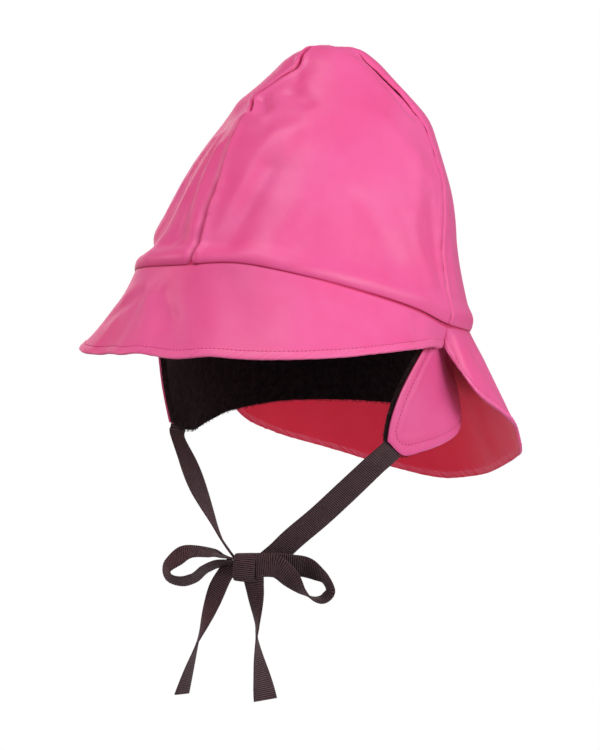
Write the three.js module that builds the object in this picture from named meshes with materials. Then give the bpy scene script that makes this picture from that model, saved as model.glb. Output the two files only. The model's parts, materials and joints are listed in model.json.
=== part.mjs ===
// A child's rain hat: a crown of four sewn panels of coated cloth, a brim that is narrow over the
// ears and long over the neck, an ear and neck flap lined with fleece, and two ribbon ties in a bow.
// Millimetres. +Z is up, the hat faces -Y, and +X is the wearer's left.
// The origin is the middle of the head opening, level with the seam above the ears.
import * as THREE from "three";

// Driving dimensions
const SEAM_WIDTH = 163; // across the seam between crown and brim, ear to ear
const SEAM_LENGTH = 179; // across that seam, front to back
const CROWN_TOP = 127;
const CROWN_LEAN = 23; // how far behind the origin the top of the crown stands
const CROWN_SLANT = 160; // from the seam to the top, along the cloth
const CLOTH = 1.2;
const FLEECE = 3;
const GAP = 0.3; // between pieces that are sewn to each other
const RIBBON_WIDTH = 12;
const RIBBON_THICKNESS = 1;
const PANEL_FLATNESS = 0.05; // how far a crown panel's middle lies inside the round, as a share
const BRIM_TUCK = 0.8; // how far the crown stands proud of the brim at their seam
const FLAP_TUCK = 3.8; // how far the flap then stands inside the brim, just under their seam
const KNOT = new THREE.Vector3(0, -42, -129.5);
const KNOT_SIZE = { long: 13, high: 14, deep: 9 };
const BOW_TURN = 24; // the bow faces this many degrees from straight ahead, to the wearer's left

// How finely each piece is divided
const CROWN_ROWS = 15;
const PANEL_COLUMNS = 10;
const FRONT_BRIM_GRID = { columns: 44, rows: 5 };
const BACK_BRIM_GRID = { columns: 40, rows: 6 };
const SIDE_CROWDING = 0.6; // how much closer together a brim's columns stand at its side seams
const FLAP_GRID = { columns: 40, rows: 6 };
const RIBBON_STEPS = 4; // from each row of its table to the next

// Directions are degrees round the hat: 0 is the front, 90 the wearer's left, 180 the back.
const SEAM = [
  { direction: -180, height: -20 },
  { direction: -150, height: -17.5 },
  { direction: -131, height: -15 },
  { direction: -103, height: -8.5 },
  { direction: -85, height: 0 },
  { direction: -65, height: 8.5 },
  { direction: -49, height: 14 },
  { direction: -24, height: 19.5 },
  { direction: 0, height: 22.5 },
  { direction: 20, height: 24.5 },
  { direction: 41, height: 18.8 },
  { direction: 65, height: 9.3 },
  { direction: 85, height: 0.5 },
  { direction: 103, height: -8.5 },
  { direction: 131, height: -15 },
  { direction: 150, height: -17.5 },
  { direction: 180, height: -20 },
];

// The crown's outline from the seam, step 0, to the top, step 1: height, width and how far its
// middle stands back, each as a share.
const PROFILE = [
  { step: 0, up: 0, width: 0.992, back: 0 },
  { step: 0.036, up: 0.045, width: 1, back: 0.08 },
  { step: 0.083, up: 0.1, width: 0.955, back: 0.17 },
  { step: 0.25, up: 0.3, width: 0.861, back: 0.38 },
  { step: 0.416, up: 0.5, width: 0.764, back: 0.67 },
  { step: 0.593, up: 0.7, width: 0.605, back: 0.95 },
  { step: 0.693, up: 0.8, width: 0.484, back: 1.04 },
  { step: 0.798, up: 0.9, width: 0.345, back: 1 },
  { step: 0.854, up: 0.95, width: 0.268, back: 0.96 },
  { step: 0.912, up: 0.99, width: 0.17, back: 0.95 },
  { step: 1, up: 1, width: 0.012, back: 0.96 },
];

// Where the four crown seams run, by step from the brim to the top.
const CROWN_SEAMS = [
  { step: 0, front: 4, left: 103, back: 180, right: 257 },
  { step: 0.2, front: 1.5, left: 103, back: 181, right: 255 },
  { step: 0.36, front: -0.5, left: 107, back: 182, right: 252 },
  { step: 0.56, front: -8, left: 110, back: 182, right: 250 },
  { step: 0.72, front: -8, left: 110, back: 180, right: 250 },
  { step: 1, front: -5, left: 100, back: 175, right: 265 },
];

// Soft folds of the crown: each runs from one place to another, depth outwards if positive.
const CROWN_FOLDS = [
  { from: 22, fromStep: 0.36, to: 12, toStep: 0.08, width: 9, depth: -2.2 },
  { from: 30, fromStep: 0.55, to: 8, toStep: 0.42, width: 8, depth: 1.2 },
  { from: 14, fromStep: 0.68, to: 24, toStep: 0.64, width: 5, depth: -2.2 },
  { from: 99, fromStep: 0.86, to: 105, toStep: 0.66, width: 5, depth: -2.5 },
  { from: 70, fromStep: 0.6, to: 100, toStep: 0.42, width: 8, depth: 1.3 },
  { from: 75, fromStep: 0.12, to: 98, toStep: 0.22, width: 10, depth: -1.3 },
  { from: -20, fromStep: 0.6, to: -14, toStep: 0.12, width: 8, depth: -1.8 },
  { from: -38, fromStep: 0.62, to: -36, toStep: 0.14, width: 7, depth: 0.8 },
  { from: -70, fromStep: 0.2, to: -20, toStep: 0.1, width: 8, depth: 1.4 },
  { from: 140, fromStep: 0.5, to: 150, toStep: 0.15, width: 12, depth: -2 },
  { from: -140, fromStep: 0.6, to: -150, toStep: 0.2, width: 12, depth: -2 },
  { from: -95, fromStep: 0.7, to: -80, toStep: 0.3, width: 10, depth: -1.6 },
];

// The brim from the seam to its edge: how far out and how far down it reaches.
const FRONT_BRIM = [
  { direction: -103, out: -3.5, drop: 11 },
  { direction: -85, out: 7.6, drop: 19 },
  { direction: -65, out: 20.6, drop: 29 },
  { direction: -49, out: 26.1, drop: 37.5 },
  { direction: -24, out: 25.1, drop: 41.4 },
  { direction: 0, out: 24.6, drop: 42 },
  { direction: 20, out: 24.6, drop: 43.1 },
  { direction: 41, out: 24.6, drop: 37.9 },
  { direction: 65, out: 18.6, drop: 27.3 },
  { direction: 85, out: 7.6, drop: 17.9 },
  { direction: 103, out: -3.5, drop: 11 },
];
const BACK_BRIM = [
  { direction: 103, out: -2.1, drop: 11 },
  { direction: 104.5, out: 0.6, drop: 16 },
  { direction: 107, out: 9.6, drop: 28.5 },
  { direction: 110, out: 13.8, drop: 34 },
  { direction: 116, out: 18, drop: 38.7 },
  { direction: 122, out: 23, drop: 44.5 },
  { direction: 128, out: 24.8, drop: 49 },
  { direction: 134, out: 26.3, drop: 59 },
  { direction: 142, out: 25.6, drop: 63.3 },
  { direction: 150, out: 25.6, drop: 66.5 },
  { direction: 165, out: 26.6, drop: 74.3 },
  { direction: 180, out: 27.6, drop: 78 },
  { direction: 195, out: 26.6, drop: 75.5 },
  { direction: 210, out: 25.6, drop: 69.8 },
  { direction: 229, out: 24.1, drop: 61 },
  { direction: 242, out: 14, drop: 50 },
  { direction: 250, out: 5, drop: 30 },
  { direction: 257, out: -2.1, drop: 11 },
];

// Ripples of the brim, deepest at the edge: a ridge stands out, a valley has a negative depth.
const BRIM_RIPPLES = [
  { direction: -34, width: 8, depth: 1.6 },
  { direction: -20, width: 6, depth: -1.6 },
  { direction: -10, width: 6, depth: 1.2 },
  { direction: 0, width: 5, depth: -2 },
  { direction: 14, width: 8, depth: 1.2 },
  { direction: 48, width: 12, depth: -1.2 },
  { direction: 72, width: 10, depth: 1.2 },
  { direction: 150, width: 10, depth: -1.5 },
  { direction: 172, width: 10, depth: 1.5 },
  { direction: 196, width: 10, depth: -1.5 },
  { direction: 218, width: 10, depth: 1.5 },
];

// The ear and neck flap, round the back from its left front edge to its right front edge:
// its direction at the seam and at its lower edge, and that edge's radius and height.
const FLAP = [
  { share: 0, top: 104, bottom: 76, radius: 73, height: -64 },
  { share: 0.05, top: 106, bottom: 84, radius: 73, height: -71.5 },
  { share: 0.1, top: 109, bottom: 94, radius: 74.5, height: -70.5 },
  { share: 0.155, top: 115, bottom: 106, radius: 76.5, height: -68.3 },
  { share: 0.21, top: 122, bottom: 118, radius: 78.5, height: -65.6 },
  { share: 0.275, top: 132, bottom: 131, radius: 80, height: -62.5 },
  { share: 0.365, top: 150, bottom: 150, radius: 82, height: -59.5 },
  { share: 0.505, top: 180, bottom: 180, radius: 83, height: -57 },
  { share: 0.64, top: 208, bottom: 208, radius: 82, height: -56 },
  { share: 0.74, top: 229, bottom: 229, radius: 80, height: -56.5 },
  { share: 0.8, top: 243, bottom: 242, radius: 78, height: -58.5 },
  { share: 0.855, top: 257, bottom: 254, radius: 76, height: -61 },
  { share: 0.91, top: 271, bottom: 266, radius: 74, height: -65.5 },
  { share: 0.95, top: 282, bottom: 276, radius: 73, height: -68.5 },
  { share: 1, top: 302, bottom: 286.5, radius: 76, height: -63.5 },
];

// Ribbons by their middle line, from the knot: along the bow to the wearer's left, forward and up,
// and the way the ribbon's width lies there.
const TIES = {
  tie_left: [
    { along: 76.2, forward: 2.1, up: 60.9, wide: [0.45, -0.67, -0.59] },
    { along: 73.9, forward: 3.4, up: 57.2, wide: [0.5, -0.55, -0.66] },
    { along: 66.7, forward: 4, up: 53.4, wide: [0.51, -0.47, -0.72] },
    { along: 52.7, forward: 3, up: 40.3, wide: [0.55, -0.38, -0.74] },
    { along: 38.2, forward: 0.5, up: 27.2, wide: [0.55, -0.38, -0.74] },
    { along: 24, forward: -2.2, up: 15.5, wide: [0.53, -0.37, -0.76] },
    { along: 15.6, forward: -4.3, up: 7.7, wide: [0.35, -0.58, -0.72] },
    { along: 8.2, forward: -4.2, up: 4.4, wide: [0.2, -0.25, -0.95] },
  ],
  tie_right: [
    { along: -53.9, forward: -54.1, up: 62.6, wide: [0.34, -0.88, -0.34] },
    { along: -53.6, forward: -52.6, up: 58.6, wide: [0.34, -0.88, -0.25] },
    { along: -44.8, forward: -43, up: 47.1, wide: [0.15, -0.95, 0.2] },
    { along: -32.1, forward: -25, up: 32.2, wide: [0.18, -0.96, 0.1] },
    { along: -19.7, forward: -12, up: 16.9, wide: [0.01, -0.89, -0.42] },
    { along: -13.4, forward: -6.5, up: 10.3, wide: [-0.21, -0.88, -0.45] },
    { along: -8.7, forward: -1.5, up: 7.3, wide: [0, -1, -0.1] },
  ],
  bow_loop_right: [
    { along: -7.6, forward: 0.5, up: 4.4, wide: [0, 0.97, 0.2] },
    { along: -12.3, forward: 1, up: 5.3, wide: [0.29, 0.96, 0] },
    { along: -17.5, forward: 1, up: 6.6, wide: [0.28, 0.91, -0.22] },
    { along: -26.7, forward: 1.5, up: 7.1, wide: [0.32, 0.87, -0.34] },
    { along: -34.1, forward: 1.5, up: 4.7, wide: [0.52, 0.68, -0.5] },
    { along: -41, forward: 0.5, up: -0.9, wide: [0.6, 0.79, -0.1] },
    { along: -40.5, forward: -0.5, up: -6.6, wide: [0.55, 0.77, 0.3] },
    { along: -34.4, forward: -1, up: -8.4, wide: [0.3, 0.81, 0.5] },
    { along: -27.8, forward: -1.5, up: -6.4, wide: [0.16, 0.85, 0.5] },
    { along: -22.2, forward: -2, up: -2, wide: [0.11, 0.89, 0.42] },
    { along: -15.7, forward: -1.5, up: 0.8, wide: [0.16, 0.87, 0.4] },
    { along: -7.8, forward: -0.5, up: 1.2, wide: [0, 0.87, 0.5] },
  ],
  bow_loop_left: [
    { along: 7.1, forward: 2.5, up: 1.8, wide: [0, 0.1, 0.99] },
    { along: 16.4, forward: 3.2, up: 1.5, wide: [0.15, 0.16, 0.97] },
    { along: 23.6, forward: 3.2, up: -3.7, wide: [0.69, 0.31, 0.57] },
    { along: 30.1, forward: 2.5, up: -10.5, wide: [0.54, 0.81, 0.22] },
    { along: 35, forward: 1, up: -13.9, wide: [0.29, 0.96, 0] },
    { along: 40.1, forward: 0, up: -13.6, wide: [0.45, 0.86, -0.22] },
    { along: 43.1, forward: -1, up: -9.9, wide: [0.6, 0.79, -0.05] },
    { along: 40, forward: -2, up: -4, wide: [0.61, 0.76, 0.22] },
    { along: 34.3, forward: -3, up: -0.6, wide: [0.48, 0.51, 0.7] },
    { along: 29, forward: -3.5, up: 1.1, wide: [0.31, 0.32, 0.88] },
    { along: 22.9, forward: -2.4, up: 1.7, wide: [0.18, 0.26, 0.95] },
    { along: 14.5, forward: -1.2, up: 1.8, wide: [0.03, 0.1, 0.98] },
    { along: 7.1, forward: -0.8, up: 1.6, wide: [0, 0, 1] },
  ],
  bow_tail_right: [
    { along: -8.7, forward: 0, up: -2.4, wide: [0.5, 0.7, 0.4] },
    { along: -12, forward: 2, up: -4.8, wide: [0.86, 0.36, 0.3] },
    { along: -14.6, forward: 2, up: -9.9, wide: [0.9, 0.37, 0.2] },
    { along: -17.5, forward: 2, up: -18.5, wide: [0.83, 0.53, 0.15] },
    { along: -21, forward: 1.5, up: -27.2, wide: [0.65, 0.75, 0.1] },
    { along: -24.9, forward: 1, up: -37.5, wide: [0.29, 0.96, 0] },
    { along: -29.5, forward: 0.5, up: -50.8, wide: [-0.07, 0.99, -0.1] },
    { along: -33.9, forward: 0, up: -64.7, wide: [-0.14, 0.98, -0.12] },
  ],
  bow_tail_left: [
    { along: 4.7, forward: 1.5, up: -7.6, wide: [0.8, 0.6, 0] },
    { along: 5.4, forward: 2, up: -14.5, wide: [0.77, 0.63, 0] },
    { along: 6, forward: 1.5, up: -27.5, wide: [0.46, 0.88, 0] },
    { along: 5.6, forward: 1, up: -34.6, wide: [0.29, 0.96, 0] },
    { along: 6.6, forward: 1, up: -44, wide: [-0.05, 1, 0] },
    { along: 8.4, forward: 1, up: -54.4, wide: [-0.34, 0.94, 0.1] },
    { along: 10.2, forward: 1, up: -65.3, wide: [-0.68, 0.73, 0.15] },
  ],
};

const COLOURS = {
  cloth: { color: 0xe8508f, roughness: 0.42, metalness: 0 },
  fleece: { color: 0x17110f, roughness: 0.95, metalness: 0 },
  ribbon: { color: 0x3a2c2e, roughness: 0.8, metalness: 0 },
};

// One column of a table at a place on its key column, as a smooth curve through the rows.
function smooth(table, key, column, place) {
  const last = table.length - 1;
  const above = table.findIndex((row) => row[key] > place);
  const start = above < 0 ? last - 1 : Math.max(above - 1, 0);
  const slope = (index) => {
    const before = table[Math.max(index - 1, 0)];
    const after = table[Math.min(index + 1, last)];
    return (after[column] - before[column]) / (after[key] - before[key]);
  };
  const [low, high] = [table[start], table[start + 1]];
  const span = high[key] - low[key];
  const t = THREE.MathUtils.clamp((place - low[key]) / span, 0, 1);
  const rise = high[column] - low[column];
  const bend = (1 - t) * (slope(start) * span - rise) - t * (slope(start + 1) * span - rise);
  return low[column] + rise * t + t * (1 - t) * bend;
}

// A place round the hat, from its direction, its distance out from an upright axis and its height.
function around(direction, radius, height, behind = 0) {
  const angle = THREE.MathUtils.degToRad(direction);
  return new THREE.Vector3(radius * Math.sin(angle), behind - radius * Math.cos(angle), height);
}

function wrapped(direction) {
  return THREE.MathUtils.euclideanModulo(direction + 180, 360) - 180;
}

function seamHeight(direction) {
  return smooth(SEAM, "direction", "height", wrapped(direction));
}

function seamRadius(direction) {
  const angle = THREE.MathUtils.degToRad(direction);
  return 1 / Math.hypot(Math.sin(angle) / (SEAM_WIDTH / 2), Math.cos(angle) / (SEAM_LENGTH / 2));
}

// How far the crown's folds lift the cloth at a place, in millimetres.
function crownFolds(direction, step, radius) {
  const side = THREE.MathUtils.degToRad(radius);
  let lift = 0;
  for (const fold of CROWN_FOLDS) {
    const run = [(fold.to - fold.from) * side, (fold.toStep - fold.fromStep) * CROWN_SLANT];
    const here = [wrapped(direction - fold.from) * side, (step - fold.fromStep) * CROWN_SLANT];
    const share = (here[0] * run[0] + here[1] * run[1]) / (run[0] ** 2 + run[1] ** 2);
    const t = THREE.MathUtils.clamp(share, 0, 1);
    const distance = Math.hypot(here[0] - t * run[0], here[1] - t * run[1]);
    lift += fold.depth * Math.exp(-((distance / fold.width) ** 2));
  }
  return lift;
}

// The direction of a place on the crown. turn counts panels from the front seam, from 0 to 4.
function crownDirection(turn, step) {
  const seams = ["front", "left", "back", "right"].map((name) => smooth(CROWN_SEAMS, "step", name, step));
  seams.push(seams[0] + 360);
  const panel = Math.min(Math.floor(turn), 3);
  return THREE.MathUtils.lerp(seams[panel], seams[panel + 1], turn - panel);
}

// A place on the crown, at a depth under its outer face.
function crown(turn, step, depth) {
  const direction = crownDirection(turn, step);
  const flat = PANEL_FLATNESS * Math.sin(Math.PI * Math.min(step * 1.2, 1));
  const size = seamRadius(direction) * (1 + flat / 2 - flat * Math.abs(Math.sin(Math.PI * turn)));
  const outline = (place) => {
    const up = smooth(PROFILE, "step", "up", place);
    const height = THREE.MathUtils.lerp(seamHeight(direction) + GAP / 2, CROWN_TOP, up);
    return new THREE.Vector2(smooth(PROFILE, "step", "width", place) * size, height);
  };
  const here = outline(step);
  const slope = outline(step + 0.01).sub(outline(step - 0.01)).normalize();
  const lift = crownFolds(direction, step, here.x) * Math.min(step * 12, 1) - depth;
  const behind = CROWN_LEAN * smooth(PROFILE, "step", "back", step);
  return around(direction, here.x + slope.y * lift, here.y - slope.x * lift, behind);
}

// A place on the brim, from its edge, share 0, to the seam, share 1. The curl is how much of its
// spread comes near the edge.
function brim({ table, curl }, direction, share, depth) {
  const out = smooth(table, "direction", "out", direction);
  const drop = smooth(table, "direction", "drop", direction);
  const down = 1 - share;
  let ripple = 0;
  for (const fold of BRIM_RIPPLES) {
    ripple += fold.depth * Math.exp(-((wrapped(direction - fold.direction) / fold.width) ** 2));
  }
  const away = out * ((1 - curl) * down + curl * down ** 2) + ripple * down ** 1.5;
  const slope = new THREE.Vector2(out, -drop).normalize();
  const radius = seamRadius(direction) - BRIM_TUCK + away + slope.y * depth;
  const height = seamHeight(direction) - GAP / 2 - drop * down - Math.max(slope.x, 0) * depth;
  return around(direction, radius, height);
}

// A place on the ear and neck flap, from its lower edge, level 0, to the seam, level 1.
function flap(share, level, depth) {
  const down = 1 - level;
  const [top, bottom] = ["top", "bottom"].map((name) => smooth(FLAP, "share", name, share));
  const direction = THREE.MathUtils.lerp(top, bottom, 1 - level * level);
  const seam = seamRadius(direction) - BRIM_TUCK - CLOTH - GAP;
  const tucked = seam - FLAP_TUCK * Math.min(down * 7, 1);
  const edge = smooth(FLAP, "share", "radius", share);
  const radius = THREE.MathUtils.lerp(tucked, edge, down ** 2);
  const height = THREE.MathUtils.lerp(
    seamHeight(top) - 2 * GAP,
    smooth(FLAP, "share", "height", share),
    down,
  );
  return around(direction, radius - depth, height);
}

// A closed wall of cloth. point(across, up, depth) is a place on it, across and up from 0 to 1,
// at a depth under its outer face. A ring joins its two sides, and a cap closes its top.
function wall(point, columns, rows, thickness, { ring = false, cap = false } = {}) {
  const positions = [];
  const faces = [];
  const wide = ring ? columns : columns + 1;
  for (const depth of [0, thickness]) {
    for (let row = 0; row <= rows; row++) {
      for (let column = 0; column < wide; column++) {
        positions.push(...point(column / columns, row / rows, depth));
      }
    }
  }
  const layer = wide * (rows + 1);
  const at = (side, column, row) => side * layer + row * wide + (column % wide);
  const quad = (a, b, c, d) => faces.push(a, b, c, a, c, d);
  for (let column = 0; column < columns; column++) {
    const next = column + 1;
    for (let row = 0; row < rows; row++) {
      quad(at(0, column, row), at(0, next, row), at(0, next, row + 1), at(0, column, row + 1));
      quad(at(1, column, row), at(1, column, row + 1), at(1, next, row + 1), at(1, next, row));
    }
    quad(at(0, column, 0), at(1, column, 0), at(1, next, 0), at(0, next, 0));
    if (!cap) quad(at(0, column, rows), at(0, next, rows), at(1, next, rows), at(1, column, rows));
  }
  for (let row = 0; row < rows && !ring; row++) {
    quad(at(0, 0, row), at(0, 0, row + 1), at(1, 0, row + 1), at(1, 0, row));
    quad(at(0, columns, row), at(1, columns, row), at(1, columns, row + 1), at(0, columns, row + 1));
  }
  for (const side of cap ? [0, 1] : []) {
    const middle = new THREE.Vector3();
    for (let column = 0; column < columns; column++) {
      middle.add(new THREE.Vector3().fromArray(positions, 3 * at(side, column, rows)));
    }
    const centre = positions.length / 3;
    positions.push(...middle.divideScalar(columns));
    for (let column = 0; column < columns; column++) {
      const rim = [at(side, column, rows), at(side, column + 1, rows)];
      faces.push(...(side ? rim.reverse() : rim), centre);
    }
  }
  const geometry = new THREE.BufferGeometry();
  geometry.setAttribute("position", new THREE.Float32BufferAttribute(positions, 3));
  geometry.setIndex(faces);
  geometry.computeVertexNormals();
  return geometry;
}

// One panel of the crown, from one seam to the next.
function crownPanel(panel) {
  const point = (across, step, depth) => {
    const radius = smooth(PROFILE, "step", "width", step) * SEAM_WIDTH / 2;
    const margin = Math.min(THREE.MathUtils.radToDeg(GAP / 2 / radius) / 90, 0.12);
    return crown(panel + THREE.MathUtils.lerp(margin, 1 - margin, across), step, depth);
  };
  return wall(point, PANEL_COLUMNS, CROWN_ROWS, CLOTH);
}

function crownLining() {
  const top = (CROWN_ROWS - 1) / CROWN_ROWS;
  const point = (across, up, depth) => crown(4 * across, up * top, CLOTH + GAP + depth);
  return wall(point, 4 * PANEL_COLUMNS, CROWN_ROWS - 1, FLEECE, { ring: true, cap: true });
}

// A brim between its side seams, with its columns closest together beside them.
function brimPiece(brimShape, { columns, rows }) {
  const ends = [brimShape.table[0], brimShape.table[brimShape.table.length - 1]];
  const margin = THREE.MathUtils.radToDeg(GAP / SEAM_WIDTH);
  const point = (across, up, depth) => {
    const share = across - (SIDE_CROWDING * Math.sin(2 * Math.PI * across)) / (2 * Math.PI);
    const direction = THREE.MathUtils.lerp(ends[0].direction + margin, ends[1].direction - margin, share);
    return brim(brimShape, direction, up, depth);
  };
  return wall(point, columns, rows, CLOTH);
}

function flapShell() {
  return wall(flap, FLAP_GRID.columns, FLAP_GRID.rows, CLOTH);
}

function flapLining() {
  const point = (share, level, depth) => flap(share, level, CLOTH + GAP + depth);
  return wall(point, FLAP_GRID.columns, FLAP_GRID.rows, FLEECE);
}

// Turns a thing that was made with its length to the wearer's left, facing forward, to the bow's place.
function placeInBow(thing) {
  return thing.applyMatrix4(
    new THREE.Matrix4().makeRotationZ(THREE.MathUtils.degToRad(BOW_TURN)).setPosition(KNOT),
  );
}

// A flat ribbon along the rows of its table.
function ribbon(rows) {
  const curve = (points) => new THREE.CatmullRomCurve3(points, false, "catmullrom");
  const line = curve(rows.map((row) => new THREE.Vector3(row.along, -row.forward, row.up)));
  const widths = curve(rows.map(({ wide }) => new THREE.Vector3(wide[0], -wide[1], wide[2])));
  const point = (across, along, depth) => {
    const tangent = line.getTangent(along);
    const face = new THREE.Vector3().crossVectors(widths.getPoint(along), tangent).normalize();
    const width = new THREE.Vector3().crossVectors(tangent, face).normalize();
    const place = line.getPoint(along).addScaledVector(width, (across - 0.5) * RIBBON_WIDTH);
    return placeInBow(place.addScaledVector(face, RIBBON_THICKNESS / 2 - depth));
  };
  return wall(point, 1, RIBBON_STEPS * (rows.length - 1), RIBBON_THICKNESS);
}

// The wrap of the knot: a rounded block that the ribbons come out of.
function knot() {
  const { long, high, deep } = KNOT_SIZE;
  const corner = deep / 2 - 1;
  const outline = new THREE.Shape();
  outline.moveTo(-deep / 2, -high / 2 + corner);
  outline.lineTo(-deep / 2, high / 2 - corner);
  outline.absarc(-deep / 2 + corner, high / 2 - corner, corner, Math.PI, Math.PI / 2, true);
  outline.absarc(deep / 2 - corner, high / 2 - corner, corner, Math.PI / 2, 0, true);
  outline.absarc(deep / 2 - corner, -high / 2 + corner, corner, 0, -Math.PI / 2, true);
  outline.absarc(-deep / 2 + corner, -high / 2 + corner, corner, -Math.PI / 2, -Math.PI, true);
  const settings = { depth: long, bevelEnabled: false, curveSegments: 4 };
  const geometry = new THREE.ExtrudeGeometry(outline, settings);
  geometry.translate(0, 0, -long / 2);
  const axes = new THREE.Matrix4().makeBasis(
    new THREE.Vector3(0, 1, 0),
    new THREE.Vector3(0, 0, 1),
    new THREE.Vector3(1, 0, 0),
  );
  return placeInBow(geometry.applyMatrix4(axes));
}

function piece(name, geometry, finish) {
  const mesh = new THREE.Mesh(geometry, new THREE.MeshStandardMaterial(COLOURS[finish]));
  mesh.name = name;
  return mesh;
}

const hat = new THREE.Group();
hat.add(
  piece("crown_front_left", crownPanel(0), "cloth"),
  piece("crown_back_left", crownPanel(1), "cloth"),
  piece("crown_back_right", crownPanel(2), "cloth"),
  piece("crown_front_right", crownPanel(3), "cloth"),
  piece("crown_lining", crownLining(), "fleece"),
  piece("brim_front", brimPiece({ table: FRONT_BRIM, curl: 0.25 }, FRONT_BRIM_GRID), "cloth"),
  piece("brim_back", brimPiece({ table: BACK_BRIM, curl: 0 }, BACK_BRIM_GRID), "cloth"),
  piece("flap_shell", flapShell(), "cloth"),
  piece("flap_lining", flapLining(), "fleece"),
  piece("bow_knot", knot(), "ribbon"),
);
for (const [name, rows] of Object.entries(TIES)) {
  hat.add(piece(name, ribbon(rows), "ribbon"));
}
export default hat;
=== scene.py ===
"""A child's rain hat for Blender 4.5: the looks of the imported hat, built over its frame.

The shapes repeat the hat's own sizes in millimetres, and every piece is made in metres.
"""

import json
import math
import random
from collections import namedtuple

import bmesh
import bpy
from mathutils import Matrix, Vector, noise
from mathutils.bvhtree import BVHTree
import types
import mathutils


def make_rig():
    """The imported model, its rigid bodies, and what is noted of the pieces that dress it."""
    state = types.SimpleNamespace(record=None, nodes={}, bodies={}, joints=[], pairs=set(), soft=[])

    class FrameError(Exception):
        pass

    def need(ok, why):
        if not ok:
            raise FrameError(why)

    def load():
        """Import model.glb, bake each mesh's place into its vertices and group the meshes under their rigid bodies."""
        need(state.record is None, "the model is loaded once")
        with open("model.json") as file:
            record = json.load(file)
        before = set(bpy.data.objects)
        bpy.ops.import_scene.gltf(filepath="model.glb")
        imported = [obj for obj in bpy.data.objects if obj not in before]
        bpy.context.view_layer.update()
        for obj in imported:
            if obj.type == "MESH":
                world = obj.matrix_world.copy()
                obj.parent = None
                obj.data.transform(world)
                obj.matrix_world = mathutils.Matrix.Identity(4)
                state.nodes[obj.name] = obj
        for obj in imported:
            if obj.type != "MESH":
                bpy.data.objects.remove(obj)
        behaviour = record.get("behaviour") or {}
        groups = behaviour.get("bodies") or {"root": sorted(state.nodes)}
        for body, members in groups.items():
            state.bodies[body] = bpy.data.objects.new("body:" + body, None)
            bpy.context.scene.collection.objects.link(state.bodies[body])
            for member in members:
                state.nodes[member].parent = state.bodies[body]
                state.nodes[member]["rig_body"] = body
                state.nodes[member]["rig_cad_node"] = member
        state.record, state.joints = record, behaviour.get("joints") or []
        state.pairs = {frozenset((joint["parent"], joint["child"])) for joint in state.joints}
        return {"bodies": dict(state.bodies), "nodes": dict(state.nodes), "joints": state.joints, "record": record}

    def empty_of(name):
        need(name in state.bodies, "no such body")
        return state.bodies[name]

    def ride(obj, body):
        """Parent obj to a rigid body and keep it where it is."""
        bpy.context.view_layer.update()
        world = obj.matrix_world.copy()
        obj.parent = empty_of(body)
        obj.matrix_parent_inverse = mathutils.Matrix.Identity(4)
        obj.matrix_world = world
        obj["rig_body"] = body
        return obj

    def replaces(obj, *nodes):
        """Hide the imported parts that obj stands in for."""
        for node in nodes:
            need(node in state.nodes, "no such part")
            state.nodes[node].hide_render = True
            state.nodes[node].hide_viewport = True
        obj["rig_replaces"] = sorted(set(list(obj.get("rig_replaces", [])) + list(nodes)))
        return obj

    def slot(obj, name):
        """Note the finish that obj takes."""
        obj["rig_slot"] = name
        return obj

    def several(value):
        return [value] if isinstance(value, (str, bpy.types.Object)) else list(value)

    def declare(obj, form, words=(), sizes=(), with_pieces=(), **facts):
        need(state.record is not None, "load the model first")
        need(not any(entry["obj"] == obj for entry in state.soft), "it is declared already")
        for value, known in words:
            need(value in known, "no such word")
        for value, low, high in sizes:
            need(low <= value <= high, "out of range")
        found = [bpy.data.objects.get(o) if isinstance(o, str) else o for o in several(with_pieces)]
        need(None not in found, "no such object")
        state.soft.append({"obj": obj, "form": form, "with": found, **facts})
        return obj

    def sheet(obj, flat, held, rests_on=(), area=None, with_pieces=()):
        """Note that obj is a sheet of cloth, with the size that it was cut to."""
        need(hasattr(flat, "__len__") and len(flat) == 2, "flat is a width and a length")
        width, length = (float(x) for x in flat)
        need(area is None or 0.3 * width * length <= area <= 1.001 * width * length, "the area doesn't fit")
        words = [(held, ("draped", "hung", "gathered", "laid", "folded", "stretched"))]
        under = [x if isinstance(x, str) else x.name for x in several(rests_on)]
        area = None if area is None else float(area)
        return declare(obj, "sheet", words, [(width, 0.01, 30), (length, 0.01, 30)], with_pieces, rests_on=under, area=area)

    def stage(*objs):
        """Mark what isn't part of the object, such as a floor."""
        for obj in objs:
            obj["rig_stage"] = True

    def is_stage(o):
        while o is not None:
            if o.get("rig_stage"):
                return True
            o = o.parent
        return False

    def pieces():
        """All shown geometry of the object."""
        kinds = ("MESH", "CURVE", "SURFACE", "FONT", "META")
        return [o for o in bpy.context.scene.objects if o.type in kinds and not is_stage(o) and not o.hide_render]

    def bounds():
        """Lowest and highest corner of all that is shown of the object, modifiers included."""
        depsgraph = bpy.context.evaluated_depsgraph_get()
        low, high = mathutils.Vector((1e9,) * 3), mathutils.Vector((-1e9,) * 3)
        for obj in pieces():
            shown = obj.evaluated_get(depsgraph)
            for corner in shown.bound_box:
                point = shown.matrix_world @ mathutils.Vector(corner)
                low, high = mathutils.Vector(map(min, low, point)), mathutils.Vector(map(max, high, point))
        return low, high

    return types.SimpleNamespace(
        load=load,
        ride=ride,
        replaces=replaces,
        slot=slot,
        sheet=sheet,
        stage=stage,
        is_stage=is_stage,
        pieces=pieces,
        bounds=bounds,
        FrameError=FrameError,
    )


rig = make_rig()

bl_info = {
    "name": "Rain hat",
    "version": (1, 0, 0),
    "blender": (4, 5, 0),
    "location": "View3D > Sidebar > Rain hat",
    "description": "Dresses the packed rain hat in sewn cloth, fleece and ribbon",
    "category": "Object",
}

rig.load()
CAD_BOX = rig.bounds()

MM = 0.001

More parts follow.
